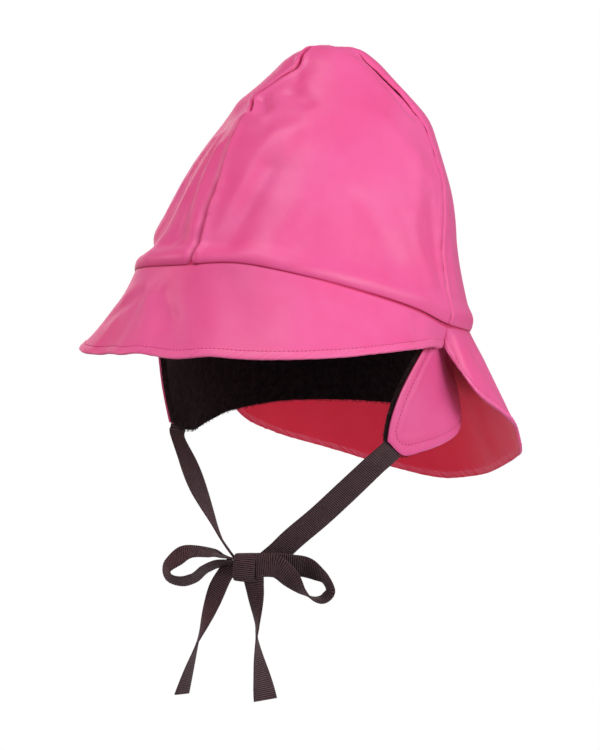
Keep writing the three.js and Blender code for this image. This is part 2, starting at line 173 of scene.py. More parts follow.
# Sizes of the hat as its solids have them, in millimetres and degrees
SEAM_WIDTH = 163
SEAM_LENGTH = 179
CROWN_TOP = 127
CROWN_LEAN = 23
CROWN_SLANT = 160
CLOTH = 1.2
FLEECE = 3.0
GAP = 0.3
RIBBON_WIDTH = 12.0
PANEL_FLATNESS = 0.05
BRIM_TUCK = 0.8
FLAP_TUCK = 3.8
KNOT = Vector((0, -42, -129.5))
BOW_TURN = 24
FRONT_CURL = 0.25

# Sizes that only the scene has, in millimetres and degrees
BRIM_SLANT = 46  # a brim's length from its edge up to its seam, and its radius, where folds lie on it
BRIM_RADIUS = 85
BRIM_LAP = 0.13  # how far the ends of the brims reach on to meet in their seam
DENT_IN_BRIM = 0.6  # how much of the seam's dent the brim's edge follows
SIDE_SEAM_WANDER = 0.7
FLAP_FOLD = 9  # depth of the fold behind the left ear
FLAP_FOLD_PLACE = (131, 0.8)  # its direction and its level on the flap
FLAP_FOLD_REACH = (15, 0.3)
FLAP_LENGTH = 300  # along its lower edge, as its seam takes it
FLAP_HEIGHT = 62
FLAP_SEAM_TOP = 0.97  # the level at which its seam starts
KNOT_WRAP_WIDTH = 11.4
KNOT_WRAP_HALF = (4.5, 6.6)  # half its depth and half its height
KNOT_CORE_HALF = (5.4, 3.7, 5.9)
FAR = 99.0  # farther than the finish of any hem or seam reaches

# Columns and rows of the grids of cloth
PANEL_GRID = (64, 112)
LINING_GRID = (180, 60)
BRIM_COLUMNS = {"brim_front": 300, "brim_back": 320}
BRIM_ROWS = 54
FLAP_GRID = (260, 64)
FLAP_LINING_GRID = (240, 56)
RIBBON_COLUMNS = 22
ROWS_PER_RIB = 5
LINE_POINTS = 500  # along the line of a brim's stitches
EDGE_POINTS = 300  # along the flap's lower edge
SIDE_POINTS = 40  # along its seam at either side
FUZZ_POINTS = 60  # along its fleece at either side

# Flat width and length in metres and cut area in square metres of the sheets, by the nodes they replace
SHEETS = {
    "crown_front_left": ((0.150, 0.165), 0.0160),
    "crown_back_left": ((0.115, 0.165), 0.0122),
    "crown_back_right": ((0.115, 0.165), 0.0118),
    "crown_front_right": ((0.150, 0.165), 0.0156),
    "crown_lining": ((0.500, 0.190), 0.0527),
    "brim_front": ((0.340, 0.120), 0.0131),
    "brim_back": ((0.330, 0.160), 0.0171),
    "flap_shell": ((0.400, 0.080), 0.0143),
    "flap_lining": ((0.400, 0.080), 0.0145),
}
PANELS = tuple(SHEETS)[:4]  # from the front seam on, round by the wearer's left
KNOT_WRAP_FLAT = (0.0114, 0.038)

# Plain values of the finishes
WHITE = (1, 1, 1, 1)
BLACK = (0, 0, 0, 1)
# Painted shadow: the dark red painted along the seams, where their own shadow falls
PAINTED_SEAM_SHADOW = (0.5, 0.008, 0.08, 1.0)
SEAM_SHADOW_SHARE = 0.8
PAINTED_THROUGH_GLOW = (1, 0.01, 0.07, 1)  # painted glow: the red the back of the cloth glows in, for light that comes through it
CLOTH_SHEEN = (1, 0.75, 0.88, 1)
FLEECE_SHEEN = (0.75, 0.6, 0.62, 1)
RIBBON_THREAD = 0.0004  # from one thread of the ribbon to the next, in metres

# The camera and the stage
VIEW_TURN = 41.0  # degrees round from the hat's front to the camera
VIEW_HEIGHT = 4.0
VIEW_DISTANCE = 2.0
LENS = 192.0
AIM = (-1.0, -36.5)  # what the middle of the picture looks at, right of and above the origin
FLOOR_RADIUS = 30
FLOOR_HEIGHT = -0.42
LIGHT_DISTANCE = 2.0
LIGHT_AIM = Vector((0, 0, -0.03))
AIR_TINT = (1, 0.6, 0.66, 1)
AIR_STRENGTH = 0.26


def table(names, rows):
    """Rows of numbers under their column names."""
    return [dict(zip(names.split(), row)) for row in rows]


LIGHTS = table("name turn height size power colour", (
    ("Key", 84, 18, 0.8, 19, (1.0, 1.0, 1.0)),
    ("Right", 116, 12, 0.8, 9, (1.0, 1.0, 1.0)),
    ("Top", 20, 76, 1.0, 15, (1.0, 1.0, 1.0)),
    ("Front", 12, 34, 1.0, 8, (1.0, 0.92, 0.95)),
    ("Side", -64, 22, 0.7, 10, (1.0, 0.48, 0.55)),
    ("Rim", -124, 8, 1.2, 5, (1.0, 1.0, 1.0)),
))

# Directions are degrees round the hat: 0 is the front, 90 the wearer's left, 180 the back.
SEAM = table("direction height", (
    (-180, -20), (-150, -17.5), (-131, -15), (-103, -8.5), (-85, 0), (-65, 8.5), (-49, 14),
    (-24, 19.5), (0, 22.5), (20, 24.5), (41, 18.8), (65, 9.3), (85, 0.5), (103, -8.5), (131, -15),
    (150, -17.5), (180, -20),
))

# Where the seam is pressed in, on the right of the front.
SEAM_DENTS = table("direction width depth", ((-52, 18, 2.2),))

# The crown's outline, from the seam at step 0 to its top at step 1.
PROFILE = table("step up width back", (
    (0, 0, 0.996, 0),
    (0.036, 0.045, 1, 0.08),
    (0.083, 0.1, 0.955, 0.17),
    (0.25, 0.3, 0.861, 0.38),
    (0.416, 0.5, 0.764, 0.67),
    (0.593, 0.7, 0.605, 0.95),
    (0.693, 0.8, 0.484, 1.04),
    (0.798, 0.9, 0.345, 1),
    (0.854, 0.95, 0.268, 0.96),
    (0.912, 0.99, 0.17, 0.95),
    (1, 1, 0.012, 0.96),
))

# The directions of the crown's seams on their way up.
CROWN_SEAMS = table("step front left back right", (
    (0, 4, 103, 180, 257),
    (0.2, 1.5, 103, 181, 255),
    (0.36, -0.5, 107, 182, 252),
    (0.56, -8, 110, 182, 250),
    (0.72, -8, 110, 180, 250),
    (1, -5, 100, 175, 265),
))

# Folds run from one place to another, and are as wide and deep as given. They're also in the solids.
CROWN_FOLDS = table("from from_step to to_step width depth", (
    (22, 0.36, 12, 0.08, 9, -2.2),
    (30, 0.55, 8, 0.42, 8, 1.2),
    (14, 0.68, 24, 0.64, 5, -2.2),
    (99, 0.86, 105, 0.66, 5, -2.5),
    (70, 0.6, 100, 0.42, 8, 1.3),
    (75, 0.12, 98, 0.22, 10, -1.3),
    (-20, 0.6, -14, 0.12, 8, -1.8),
    (-38, 0.62, -36, 0.14, 7, 0.8),
    (-70, 0.2, -20, 0.1, 8, 1.4),
    (140, 0.5, 150, 0.15, 12, -2),
    (-140, 0.6, -150, 0.2, 12, -2),
    (-95, 0.7, -80, 0.3, 10, -1.6),
))

# How far the edges of the brims lie out from the seam and under it.
FRONT_BRIM = table("direction out drop", (
    (-103, -3.5, 11), (-85, 7.6, 19), (-65, 20.6, 29), (-49, 26.1, 37.5), (-24, 25.1, 41.4),
    (0, 24.6, 42), (20, 24.6, 43.1), (41, 24.6, 37.9), (65, 18.6, 27.3), (85, 7.6, 17.9),
    (103, -3.5, 11),
))
BACK_BRIM = table("direction out drop", (
    (103, -2.1, 11), (104.5, 0.6, 16), (107, 9.6, 28.5), (110, 13.8, 34), (116, 18, 38.7),
    (122, 23, 44.5), (128, 24.8, 49), (134, 26.3, 59), (142, 25.6, 63.3), (150, 25.6, 66.5),
    (165, 26.6, 74.3), (180, 27.6, 78), (195, 26.6, 75.5), (210, 25.6, 69.8), (229, 24.1, 61),
    (242, 14, 50), (250, 5, 30), (257, -2.1, 11),
))

# Ripples of the brims, widest at the edge.
BRIM_RIPPLES = table("direction width depth", (
    (-34, 8, 1.6), (-20, 6, -1.6), (-10, 6, 1.2), (0, 5, -2), (14, 8, 1.2), (48, 12, -1.2),
    (72, 10, 1.2), (150, 10, -1.5), (172, 10, 1.5), (196, 10, -1.5), (218, 10, 1.5),
))

# The flap, along its lower edge by share: where its top and bottom lie, and its lower edge.
FLAP = table("share top bottom radius height", (
    (0, 104, 76, 73, -64),
    (0.05, 106, 84, 73, -71.5),
    (0.1, 109, 94, 74.5, -70.5),
    (0.155, 115, 106, 76.5, -68.3),
    (0.21, 122, 118, 78.5, -65.6),
    (0.275, 132, 131, 80, -62.5),
    (0.365, 150, 150, 82, -59.5),
    (0.505, 180, 180, 83, -57),
    (0.64, 208, 208, 82, -56),
    (0.74, 229, 229, 80, -56.5),
    (0.8, 243, 242, 78, -58.5),
    (0.855, 257, 254, 76, -61),
    (0.91, 271, 266, 74, -65.5),
    (0.95, 282, 276, 73, -68.5),
    (1, 302, 285, 76, -63.5),
))

# Middle lines in the bow's own frame: left of the knot, forward and up, then the way the width lies.
RIBBONS = {
    "tie_left": (
        (75, 2.7, 61, 0.51, -0.49, -0.71),
        (71.2, 3.5, 57.4, 0.51, -0.48, -0.72),
        (66.7, 4, 53.4, 0.51, -0.47, -0.72),
        (52.7, 3, 40.3, 0.55, -0.38, -0.74),
        (38.2, 0.5, 27.2, 0.55, -0.38, -0.74),
        (24, -2.2, 15.5, 0.53, -0.37, -0.76),
        (15.6, -4.3, 7.9, 0.5, -0.42, -0.75),
        (7.5, -5, 1.2, 0.5, -0.4, -0.76),
    ),
    "tie_right": (
        (-53.9, -54.1, 62.6, 0.34, -0.88, -0.34),
        (-53.6, -52.6, 58.6, 0.34, -0.88, -0.25),
        (-44.8, -43, 47.1, 0.15, -0.95, 0.2),
        (-32.1, -25, 32.2, 0.18, -0.96, 0.1),
        (-19.7, -12, 16.9, 0.01, -0.89, -0.42),
        (-13.4, -6.5, 10.3, -0.1, -0.9, -0.42),
        (-7.5, -2, 5.2, -0.1, -0.9, -0.4),
    ),
    "bow_loop_right": (
        (-7.6, 0.5, 4.4, 0, 0.97, 0.2),
        (-12.3, 1, 5.3, 0.29, 0.96, 0),
        (-17.5, 1, 6.6, 0.28, 0.91, -0.22),
        (-26.7, 1.5, 7.1, 0.32, 0.87, -0.34),
        (-34.1, 1.5, 4.7, 0.52, 0.68, -0.5),
        (-41, 0.5, -0.9, 0.6, 0.79, -0.1),
        (-40.5, -0.5, -6.6, 0.55, 0.77, 0.3),
        (-34.4, -1, -8.4, 0.3, 0.81, 0.5),
        (-27.8, -1.5, -6.4, 0.16, 0.85, 0.5),
        (-22.2, -2, -2, 0.11, 0.89, 0.42),
        (-15.7, -1.5, 0.8, 0.16, 0.87, 0.4),
        (-7.8, -0.5, 1.2, 0, 0.87, 0.5),
    ),
    "bow_loop_left": (
        (7.1, 2.5, 1.8, 0, 0.1, 0.99),
        (16.4, 3.2, 1.5, 0.15, 0.16, 0.97),
        (23.6, 3.2, -3.7, 0.69, 0.31, 0.57),
        (30.1, 2.5, -10.5, 0.54, 0.81, 0.22),
        (35, 1, -13.9, 0.29, 0.96, 0),
        (40.1, 0, -13.6, 0.45, 0.86, -0.22),
        (43.1, -1, -9.9, 0.6, 0.79, -0.05),
        (40, -2, -4, 0.61, 0.76, 0.22),
        (34.3, -3, -0.6, 0.48, 0.51, 0.7),
        (29, -3.5, 1.1, 0.31, 0.32, 0.88),
        (22.9, -2.4, 1.7, 0.18, 0.26, 0.95),
        (14.5, -1.2, 1.8, 0.03, 0.1, 0.98),
        (7.1, -0.8, 1.6, 0, 0, 1),
    ),
    "bow_tail_right": (
        (-6.6, -1.5, 2.4, 0.92, 0.2, 0.3),
        (-10.6, 0.6, -3.2, 0.9, 0.3, 0.28),
        (-14, 2, -9.9, 0.9, 0.37, 0.2),
        (-17.5, 2, -18.5, 0.83, 0.53, 0.15),
        (-21, 1.5, -27.2, 0.65, 0.75, 0.1),
        (-24.9, 1, -37.5, 0.29, 0.96, 0),
        (-29.5, 0.5, -50.8, -0.1, 0.99, -0.1),
        (-33.9, 0, -64.9, -0.38, 0.92, -0.12),
    ),
    "bow_tail_left": (
        (3.8, 0.6, -3, 0.96, 0.25, 0),
        (4.8, 1.9, -8, 0.93, 0.35, 0),
        (5.5, 2, -14.5, 0.84, 0.52, 0),
        (6, 1.5, -27.5, 0.46, 0.88, 0),
        (5.6, 1, -34.6, 0.29, 0.96, 0),
        (6.6, 1, -44, -0.05, 1, 0),
        (8.4, 1, -54.4, -0.48, 0.87, 0.1),
        (10.2, 1, -65.6, -0.88, 0.45, 0.15),
    ),
}

# Finer folds that only show close to: they lie on top of the ones above.
FINE_FOLDS = table("from from_step to to_step width depth", (
    (-52, 0.3, -52, 0.56, 22, 2.6),
    (-49, 0.95, -49, 0.74, 12, -0.3),
    (131, 0.62, 131, 0.35, 14, 1.3),
    (-62, 0.055, -40, 0.055, 7, -5.2),
    (-36, 0.54, -30, 0.13, 12, -4.8),
    (-22, 0.5, -15, 0.2, 4, 0.9),
    (20, 0.36, 15, 0.06, 5, -1.2),
    (16, 0.5, 8, 0.12, 4, 0.7),
    (-11, 0.45, -2, 0.13, 3.4, 1.3),
    (-13, 0.34, -4, 0.08, 1.6, -0.9),
    (-19, 0.42, -10, 0.12, 5.5, -2.4),
    (-20, 0.3, -15, 0.1, 1.3, 0.6),
    (-33, 0.24, -30, 0.1, 1.6, 0.5),
    (-40, 0.5, -40, 0.22, 1.3, 0.6),
    (-5, 0.655, 4, 0.6, 2.6, -2.6),
    (-3, 0.57, 6, 0.555, 3, 0.9),
    (8, 0.69, 14, 0.8, 6, -0.8),
    (7, 0.8, 12, 0.75, 2.5, -0.7),
    (10, 0.97, 45, 0.93, 7, 0.6),
    (6, 0.3, 8, 0.1, 6, -0.8),
    (24, 0.5, 20, 0.28, 7, 0.8),
    (35, 0.26, 28, 0.1, 7, 0.7),
    (42, 0.2, 34, 0.06, 5, -0.5),
    (60, 0.3, 78, 0.12, 6, -0.7),
    (84, 0.3, 92, 0.12, 4, 0.7),
    (92, 0.5, 88, 0.3, 4, 0.6),
    (97, 0.36, 99, 0.1, 3, -0.7),
    (112, 0.45, 112, 0.12, 5, 0.7),
    (-150, 0.3, -120, 0.12, 6, 0.8),
    (170, 0.4, 150, 0.2, 6, -0.8),
    (200, 0.6, 196, 0.25, 7, 1.0),
))

# How far the front seam wanders from its way in the solids, in degrees.
SEAM_WANDER = table("step shift", (
    (0, 0), (0.5, 0), (0.56, 0.4), (0.589, 3.6), (0.622, 0), (0.655, -5.5), (0.69, -3), (0.75, 4),
    (0.79, 10), (0.83, 12), (0.88, 6), (0.93, 1), (1, 0),
))

# Folds of the brims, from the edge at share 0 to the seam at share 1.
BRIM_FOLDS = table("from from_step to to_step width depth", (
    (-4, 0.68, 2, 0.4, 5.4, -1.5),
    (2, 0.4, 9, 0.06, 5.4, -0.9),
    (-10, 0.6, -3, 0.1, 4, 0.9),
    (-16, 0.8, -26, 0.66, 4.5, 0.8),
    (-17, 0.7, -31, 0.42, 4.5, -1.3),
    (-9, 0.86, -16, 0.5, 2.4, -0.5),
    (-14, 0.5, -15, 0.1, 4, -0.7),
    (-24, 0.4, -27, 0.05, 3, 0.6),
    (18, 0.85, 26, 0.3, 8, -0.8),
    (44, 0.8, 36, 0.2, 10, 0.7),
    (66, 0.7, 58, 0.1, 7, 0.8),
    (84, 0.8, 80, 0.2, 5, -0.6),
    (-62, 0.78, -38, 0.74, 5, -2.2),
    (118, 0.7, 124, 0.2, 5, -0.8),
    (132, 0.7, 136, 0.1, 6, 0.8),
    (160, 0.6, 158, 0.1, 8, -1),
    (186, 0.7, 184, 0.1, 8, 1),
    (-140, 0.7, -146, 0.1, 8, -1),
))

# Where the edge of a brim dips, in millimetres.
EDGE_WAVES = table("direction width drop", (
    (-43, 9, -2.2), (-15, 5, -1.2), (-5, 4, -1.3), (8, 5, 1.0), (18, 4, -0.7), (29, 7, 0.5),
    (62, 7, -0.6), (72, 7, -1.0), (88, 6, -0.4), (150, 10, 1.2), (186, 8, 1.2), (190, 12, -0.6),
    (216, 12, -1.0),
))


def clamp(value):
    return min(max(value, 0.0), 1.0)


def smooth(rows, key, column, place):
    """One column of a table at a place on its key column, as a smooth curve through the rows."""
    last = len(rows) - 1
    above = next((i for i, row in enumerate(rows) if row[key] > place), None)
    start = last - 1 if above is None else max(above - 1, 0)

    def slope(index):
        before, after = rows[max(index - 1, 0)], rows[min(index + 1, last)]
        return (after[column] - before[column]) / (after[key] - before[key])

    low, high = rows[start], rows[start + 1]
    span = high[key] - low[key]
    t = clamp((place - low[key]) / span)
    rise = high[column] - low[column]
    bend = (1 - t) * (slope(start) * span - rise) - t * (slope(start + 1) * span - rise)
    return low[column] + rise * t + t * (1 - t) * bend


def mix(a, b, share):
    return a + (b - a) * share


def bell(distance, width):
    """1 at no distance, and fading out over a width."""
    return math.exp(-((distance / width) ** 2))


def around(direction, radius, height, behind=0.0):
    """A place by its direction, its distance from an upright axis and its height."""
    angle = math.radians(direction)
    return Vector((radius * math.sin(angle), behind - radius * math.cos(angle), height))


def wrapped(direction):
    return (direction + 180) % 360 - 180


def swell(rows, column, direction):
    """The sum of a table's soft bumps at a direction."""
    return sum(row[column] * bell(wrapped(direction - row["direction"]), row["width"]) for row in rows)


def seam_height(direction):
    return smooth(SEAM, "direction", "height", wrapped(direction))


def seam_radius(direction):
    angle = math.radians(direction)
    oval = 1 / math.hypot(math.sin(angle) / (SEAM_WIDTH / 2), math.cos(angle) / (SEAM_LENGTH / 2))
    return oval - swell(SEAM_DENTS, "depth", direction)


def fold_lift(folds, direction, step, radius, slant=CROWN_SLANT):
    """How far folds lift the cloth at a place, where the radius and the slant turn it into lengths."""
    side = math.radians(radius)
    lift = 0.0
    for fold in folds:
        run_a = (fold["to"] - fold["from"]) * side
        run_b = (fold["to_step"] - fold["from_step"]) * slant
        here_a = wrapped(direction - fold["from"]) * side
        here_b = (step - fold["from_step"]) * slant
        t = clamp((here_a * run_a + here_b * run_b) / (run_a**2 + run_b**2))
        lift += fold["depth"] * bell(math.hypot(here_a - t * run_a, here_b - t * run_b), fold["width"])
    return lift


def crown_direction(turn, step):
    """The direction of a place on the crown. turn counts panels from the front seam, from 0 to 4."""
    seams = [smooth(CROWN_SEAMS, "step", name, step) for name in ("front", "left", "back", "right")]
    seams[0] += smooth(SEAM_WANDER, "step", "shift", step)
    seams[1] += SIDE_SEAM_WANDER * noise.noise(Vector((step * 14, 1.5, 0))) * min(step * 10, 1)
    seams.append(seams[0] + 360)
    panel = min(int(turn), 3)
    return mix(seams[panel], seams[panel + 1], turn - panel)


def crown(turn, step, depth):
    """A place on the crown, at a depth under its outer face."""
    direction = crown_direction(turn, step)
    flat = PANEL_FLATNESS * math.sin(math.pi * min(step * 1.2, 1))
    size = seam_radius(direction) * (1 + flat / 2 - flat * abs(math.sin(math.pi * turn)))
    seam = seam_height(direction) + GAP / 2

    def outline(place):
        height = mix(seam, CROWN_TOP, smooth(PROFILE, "step", "up", place))
        return Vector((smooth(PROFILE, "step", "width", place) * size, height))

    here = outline(step)
    slope = (outline(step + 0.01) - outline(step - 0.01)).normalized()
    lift = fold_lift(CROWN_FOLDS + FINE_FOLDS, direction, step, here.x) * min(step * 20, 1) - depth
    behind = CROWN_LEAN * smooth(PROFILE, "step", "back", step)
    return around(direction, here.x + slope.y * lift, here.y - slope.x * lift, behind)


def brim(rows, curl, direction, share, depth=0):
    """A place on a brim, from its edge, share 0, to the seam, share 1, and a little past it."""
    out, drop = (smooth(rows, "direction", name, direction) for name in ("out", "drop"))
    down = max(1 - share, 0.0)
    past = max(share - 1, 0.0)
    folds = fold_lift(BRIM_FOLDS, direction, share, BRIM_RADIUS, BRIM_SLANT) * min(past + down * 6, 1)
    ripple = swell(BRIM_RIPPLES, "depth", direction) * down**1.5 + folds
    dent = DENT_IN_BRIM * swell(SEAM_DENTS, "depth", direction) * down
    away = out * ((1 - curl) * down + curl * down**2) + ripple + dent
    slope = Vector((out, -drop)).normalized()
    radius = seam_radius(direction) - BRIM_TUCK + away + slope.y * depth - 30 * past
    height = seam_height(direction) - GAP / 2 - drop * down - max(slope.x, 0) * depth
    return around(direction, radius, height - swell(EDGE_WAVES, "drop", direction) * down**3 + drop * past)


def flap(share, level, depth):
    """A place on the ear and neck flap, from its lower edge, level 0, to the seam, level 1."""
    down = 1 - level
    top, bottom, radius, height = (
        smooth(FLAP, "share", name, share) for name in ("top", "bottom", "radius", "height")
    )
    direction = mix(top, bottom, mix(1 - level * level, down**1.8, clamp((share - 0.9) / 0.1)))
    seam = seam_radius(direction) - BRIM_TUCK - CLOTH - GAP
    away = mix(seam - FLAP_TUCK * min(down * 7, 1), radius, down**2)
    fold = bell(direction - FLAP_FOLD_PLACE[0], FLAP_FOLD_REACH[0])
    fold *= bell(level - FLAP_FOLD_PLACE[1], FLAP_FOLD_REACH[1]) * min(down * 8, 1)
    return around(direction, away - FLAP_FOLD * fold - depth, mix(seam_height(top) - 2 * GAP, height, down))


class RibbonPath:
    """The middle line of a ribbon with the way its width lies, evenly by length."""

    def __init__(self, rows, start_on=0.0, end_on=0.0):
        lines = [Vector((row[0], -row[1], row[2])) for row in rows]
        widths = [Vector((row[3], -row[4], row[5])) for row in rows]
        steps = 60 * (len(rows) - 1)
        fine = [self.curve(lines, i / steps) for i in range(steps + 1)]
        lean = [self.curve(widths, i / steps) for i in range(steps + 1)]
        if start_on:
            fine.insert(0, fine[0] + (fine[0] - fine[1]).normalized() * start_on)
            lean.insert(0, lean[0])
        if end_on:
            fine.append(fine[-1] + (fine[-1] - fine[-2]).normalized() * end_on)
            lean.append(lean[-1])
        self.points, self.lean = fine, lean
        self.at = [0.0]
        for a, b in zip(fine, fine[1:]):
            self.at.append(self.at[-1] + (b - a).length)
        self.length = self.at[-1]

    @staticmethod
    def curve(points, t):
        last = len(points) - 1
        place = t * last
        i = min(int(place), last - 1)
        w = place - i
        a, b = points[i], points[i + 1]
        before = points[i - 1] if i else 2 * a - b
        after = points[i + 2] if i + 2 <= last else 2 * b - a
        m0, m1 = (b - before) / 2, (after - a) / 2
        return a + m0 * w + (3 * (b - a) - 2 * m0 - m1) * w**2 + (2 * (a - b) + m0 + m1) * w**3

    def frame(self, length):
        """The place, the way across and the way out of the face at a length along the ribbon."""
        i = next((k for k, at in enumerate(self.at) if at > length), len(self.at) - 1)
        i = max(i, 1)
        share = (length - self.at[i - 1]) / (self.at[i] - self.at[i - 1])
        ahead = self.points[min(i + 2, len(self.points) - 1)] - self.points[max(i - 3, 0)]
        face = self.lean[i - 1].lerp(self.lean[i], share).cross(ahead).normalized()
        return self.points[i - 1].lerp(self.points[i], share), ahead.cross(face).normalized(), face


BOW_FRAME = Matrix.Translation(KNOT) @ Matrix.Rotation(math.radians(BOW_TURN), 4, "Z")


def colour_of(code):
    """A colour for a shader from its usual six-figure code."""
    parts = [int(code[i : i + 2], 16) / 255 for i in (0, 2, 4)]
    linear = [c / 12.92 if c <= 0.04045 else ((c + 0.055) / 1.055) ** 2.4 for c in parts]
    return (*linear, 1.0)


def size_property(name, default, description):
    return bpy.props.FloatProperty(
        name=name, description=description, default=default * MM, min=0, unit="LENGTH", precision=5
    )


def colour_property(name, code, description):
    return bpy.props.FloatVectorProperty(
        name=name, description=description, default=colour_of(code), size=4, min=0, max=1, subtype="COLOR"
    )


class RainHatSizes(bpy.types.PropertyGroup):
    hem: size_property("Hem", 4, "How far the hem of the brim is turned over")
    flap_hem: size_property("Flap seam", 5.5, "How far inside the flap's edge its seam is sewn")
    stitch: size_property("Stitch pitch", 2.1, "From one stitch to the next")
    stitch_length: size_property("Stitch length", 1.2, "Length of a stitch on top of the cloth")
    thread: size_property("Thread", 0.42, "Thickness of the sewing thread")
    rib: size_property("Rib pitch", 1.0, "From one rib of the ribbon to the next")
    ribbon_thickness: size_property("Ribbon thickness", 0.9, "Thickness of the ribbon between its ribs")
    pile: size_property("Pile", 0.9, "Length of the fleece's loose tufts at its edges")


class RainHatColours(bpy.types.PropertyGroup):
    cloth: colour_property("Cloth", "e25e9b", "The coated cloth where the light falls on it")
    cloth_shade: colour_property("Cloth, worn tone", "e05491", "The coated cloth's second tone")
    hem: colour_property("Hem", "ee80ae", "The paler streaks of the coated cloth in its hems")
    # Partly painted: the back of the cloth's deep red stands partly for light coming through it and for the shade
    # under the brim
    inside: colour_property("Inside of the cloth", "f02a50", "The back of the coated cloth, under the brim")
    inside_hem: colour_property("Inside of the hem", "f590ae", "The back of the cloth in its hems")
    # Painted sheen: the paler tone the back of the cloth takes when seen at a slant
    inside_slanted: colour_property("Inside, slanted", "e88aa0", "The back of the cloth seen at a slant")
    # Painted shade: the back of the cloth darkened where it is shut in
    inside_deep: colour_property("Inside, deep", "7e1016", "The back of the cloth where it is shut in")
    thread: colour_property("Thread", "ec6ea4", "The sewing thread")
    # Painted shade: a dark dent put where each stitch goes down into the cloth
    hole: colour_property("Stitch hole", "a81c50", "The cloth where a stitch goes down into it")
    # Painted light and shade: the fleece's roots take the dark of the pile in shade, its tips the lighter colour of
    # the pile in light
    fleece: colour_property("Fleece", "060506", "The fleece at its roots")
    fleece_tip: colour_property("Fleece tips", "221b1e", "The fleece at its tips")
    # Painted light and shade: the ribs take the lit colour, the grooves between them painted shade
    ribbon: colour_property("Ribbon", "5c474c", "The ribbon's ribs")
    ribbon_groove: colour_property("Ribbon grooves", "0e090a", "The ribbon between its ribs")
    floor: colour_property("Floor", "ffffff", "The floor and the air round the hat")


def sizes():
    return bpy.context.scene.rain_hat_sizes


def colours():
    return bpy.context.scene.rain_hat_colours


def having(thing, **values):
    """Sets values on a thing, and gives it back."""
    for name, value in values.items():
        setattr(thing, name, value)
    return thing


class Nodes:
    """Adds nodes to a tree. Each way of adding one gives its output socket, apart from add."""

    def __init__(self, tree):
        self.tree = tree

    def add(self, kind, inputs=None, **settings):
        node = having(self.tree.nodes.new("ShaderNode" + kind), **settings)
        self.feed(node, inputs or {})
        return node

    def feed(self, node, inputs):
        """Joins sockets to a node's inputs, and sets its other named inputs to plain values."""
        for label, value in inputs.items():
            if isinstance(value, bpy.types.NodeSocket):
                self.tree.links.new(value, node.inputs[label])
            else:
                node.inputs[label].default_value = value

    def math(self, operation, first, second=0.0):
        return self.add("Math", {0: first, 1: second}, operation=operation).outputs[0]

    def times(self, first, second):
        return self.math("MULTIPLY", first, second)

    def plus(self, first, second):
        return self.math("ADD", first, second)

    def mix(self, share, first, second):
        return self.add("Mix", {0: share, 6: first, 7: second}, data_type="RGBA").outputs[2]

    def ramp(self, value, low, high):
        """0 at low and under it, 1 at high and over it."""
        inputs = {"Value": value, "From Min": low, "From Max": high}
        return self.add("MapRange", inputs, interpolation_type="SMOOTHSTEP").outputs["Result"]

    def noise(self, place, scale, detail, roughness):
        inputs = {"Vector": place, "Scale": scale, "Detail": detail, "Roughness": roughness}
        return self.add("TexNoise", inputs).outputs["Fac"]

    def near(self, way, inner, outer):
        """1 where the cloth's own way to a hem or seam is under inner, 0 from outer on."""
        distance = self.add("Attribute", attribute_name=way).outputs["Fac"]
        return self.math("SUBTRACT", 1.0, self.ramp(distance, inner, outer))

    def place(self):
        return self.add("TexCoord").outputs["Object"]

    def cloth_map(self):
        return self.add("UVMap", uv_map="UVMap").outputs["UV"]

    def in_view(self, lit, seen):
        """One shader for the light that falls on things, and one for what the camera sees."""
        ray = self.add("LightPath").outputs["Is Camera Ray"]
        return self.add("MixShader", {0: ray, 1: lit.outputs[0], 2: seen.outputs[0]}).outputs[0]


def new_group(name, inputs, outputs):
    """An empty node group with its sockets: (name, kind, default) in, (name, kind) out."""
    group = bpy.data.node_groups.new(name, "ShaderNodeTree")
    for label, kind, value in inputs:
        socket = group.interface.new_socket(name=label, in_out="INPUT", socket_type="NodeSocket" + kind)
        socket.default_value = value
    for label, kind in outputs:
        group.interface.new_socket(name=label, in_out="OUTPUT", socket_type="NodeSocket" + kind)
    return Nodes(group), group.nodes.new("NodeGroupInput").outputs, group.nodes.new("NodeGroupOutput")


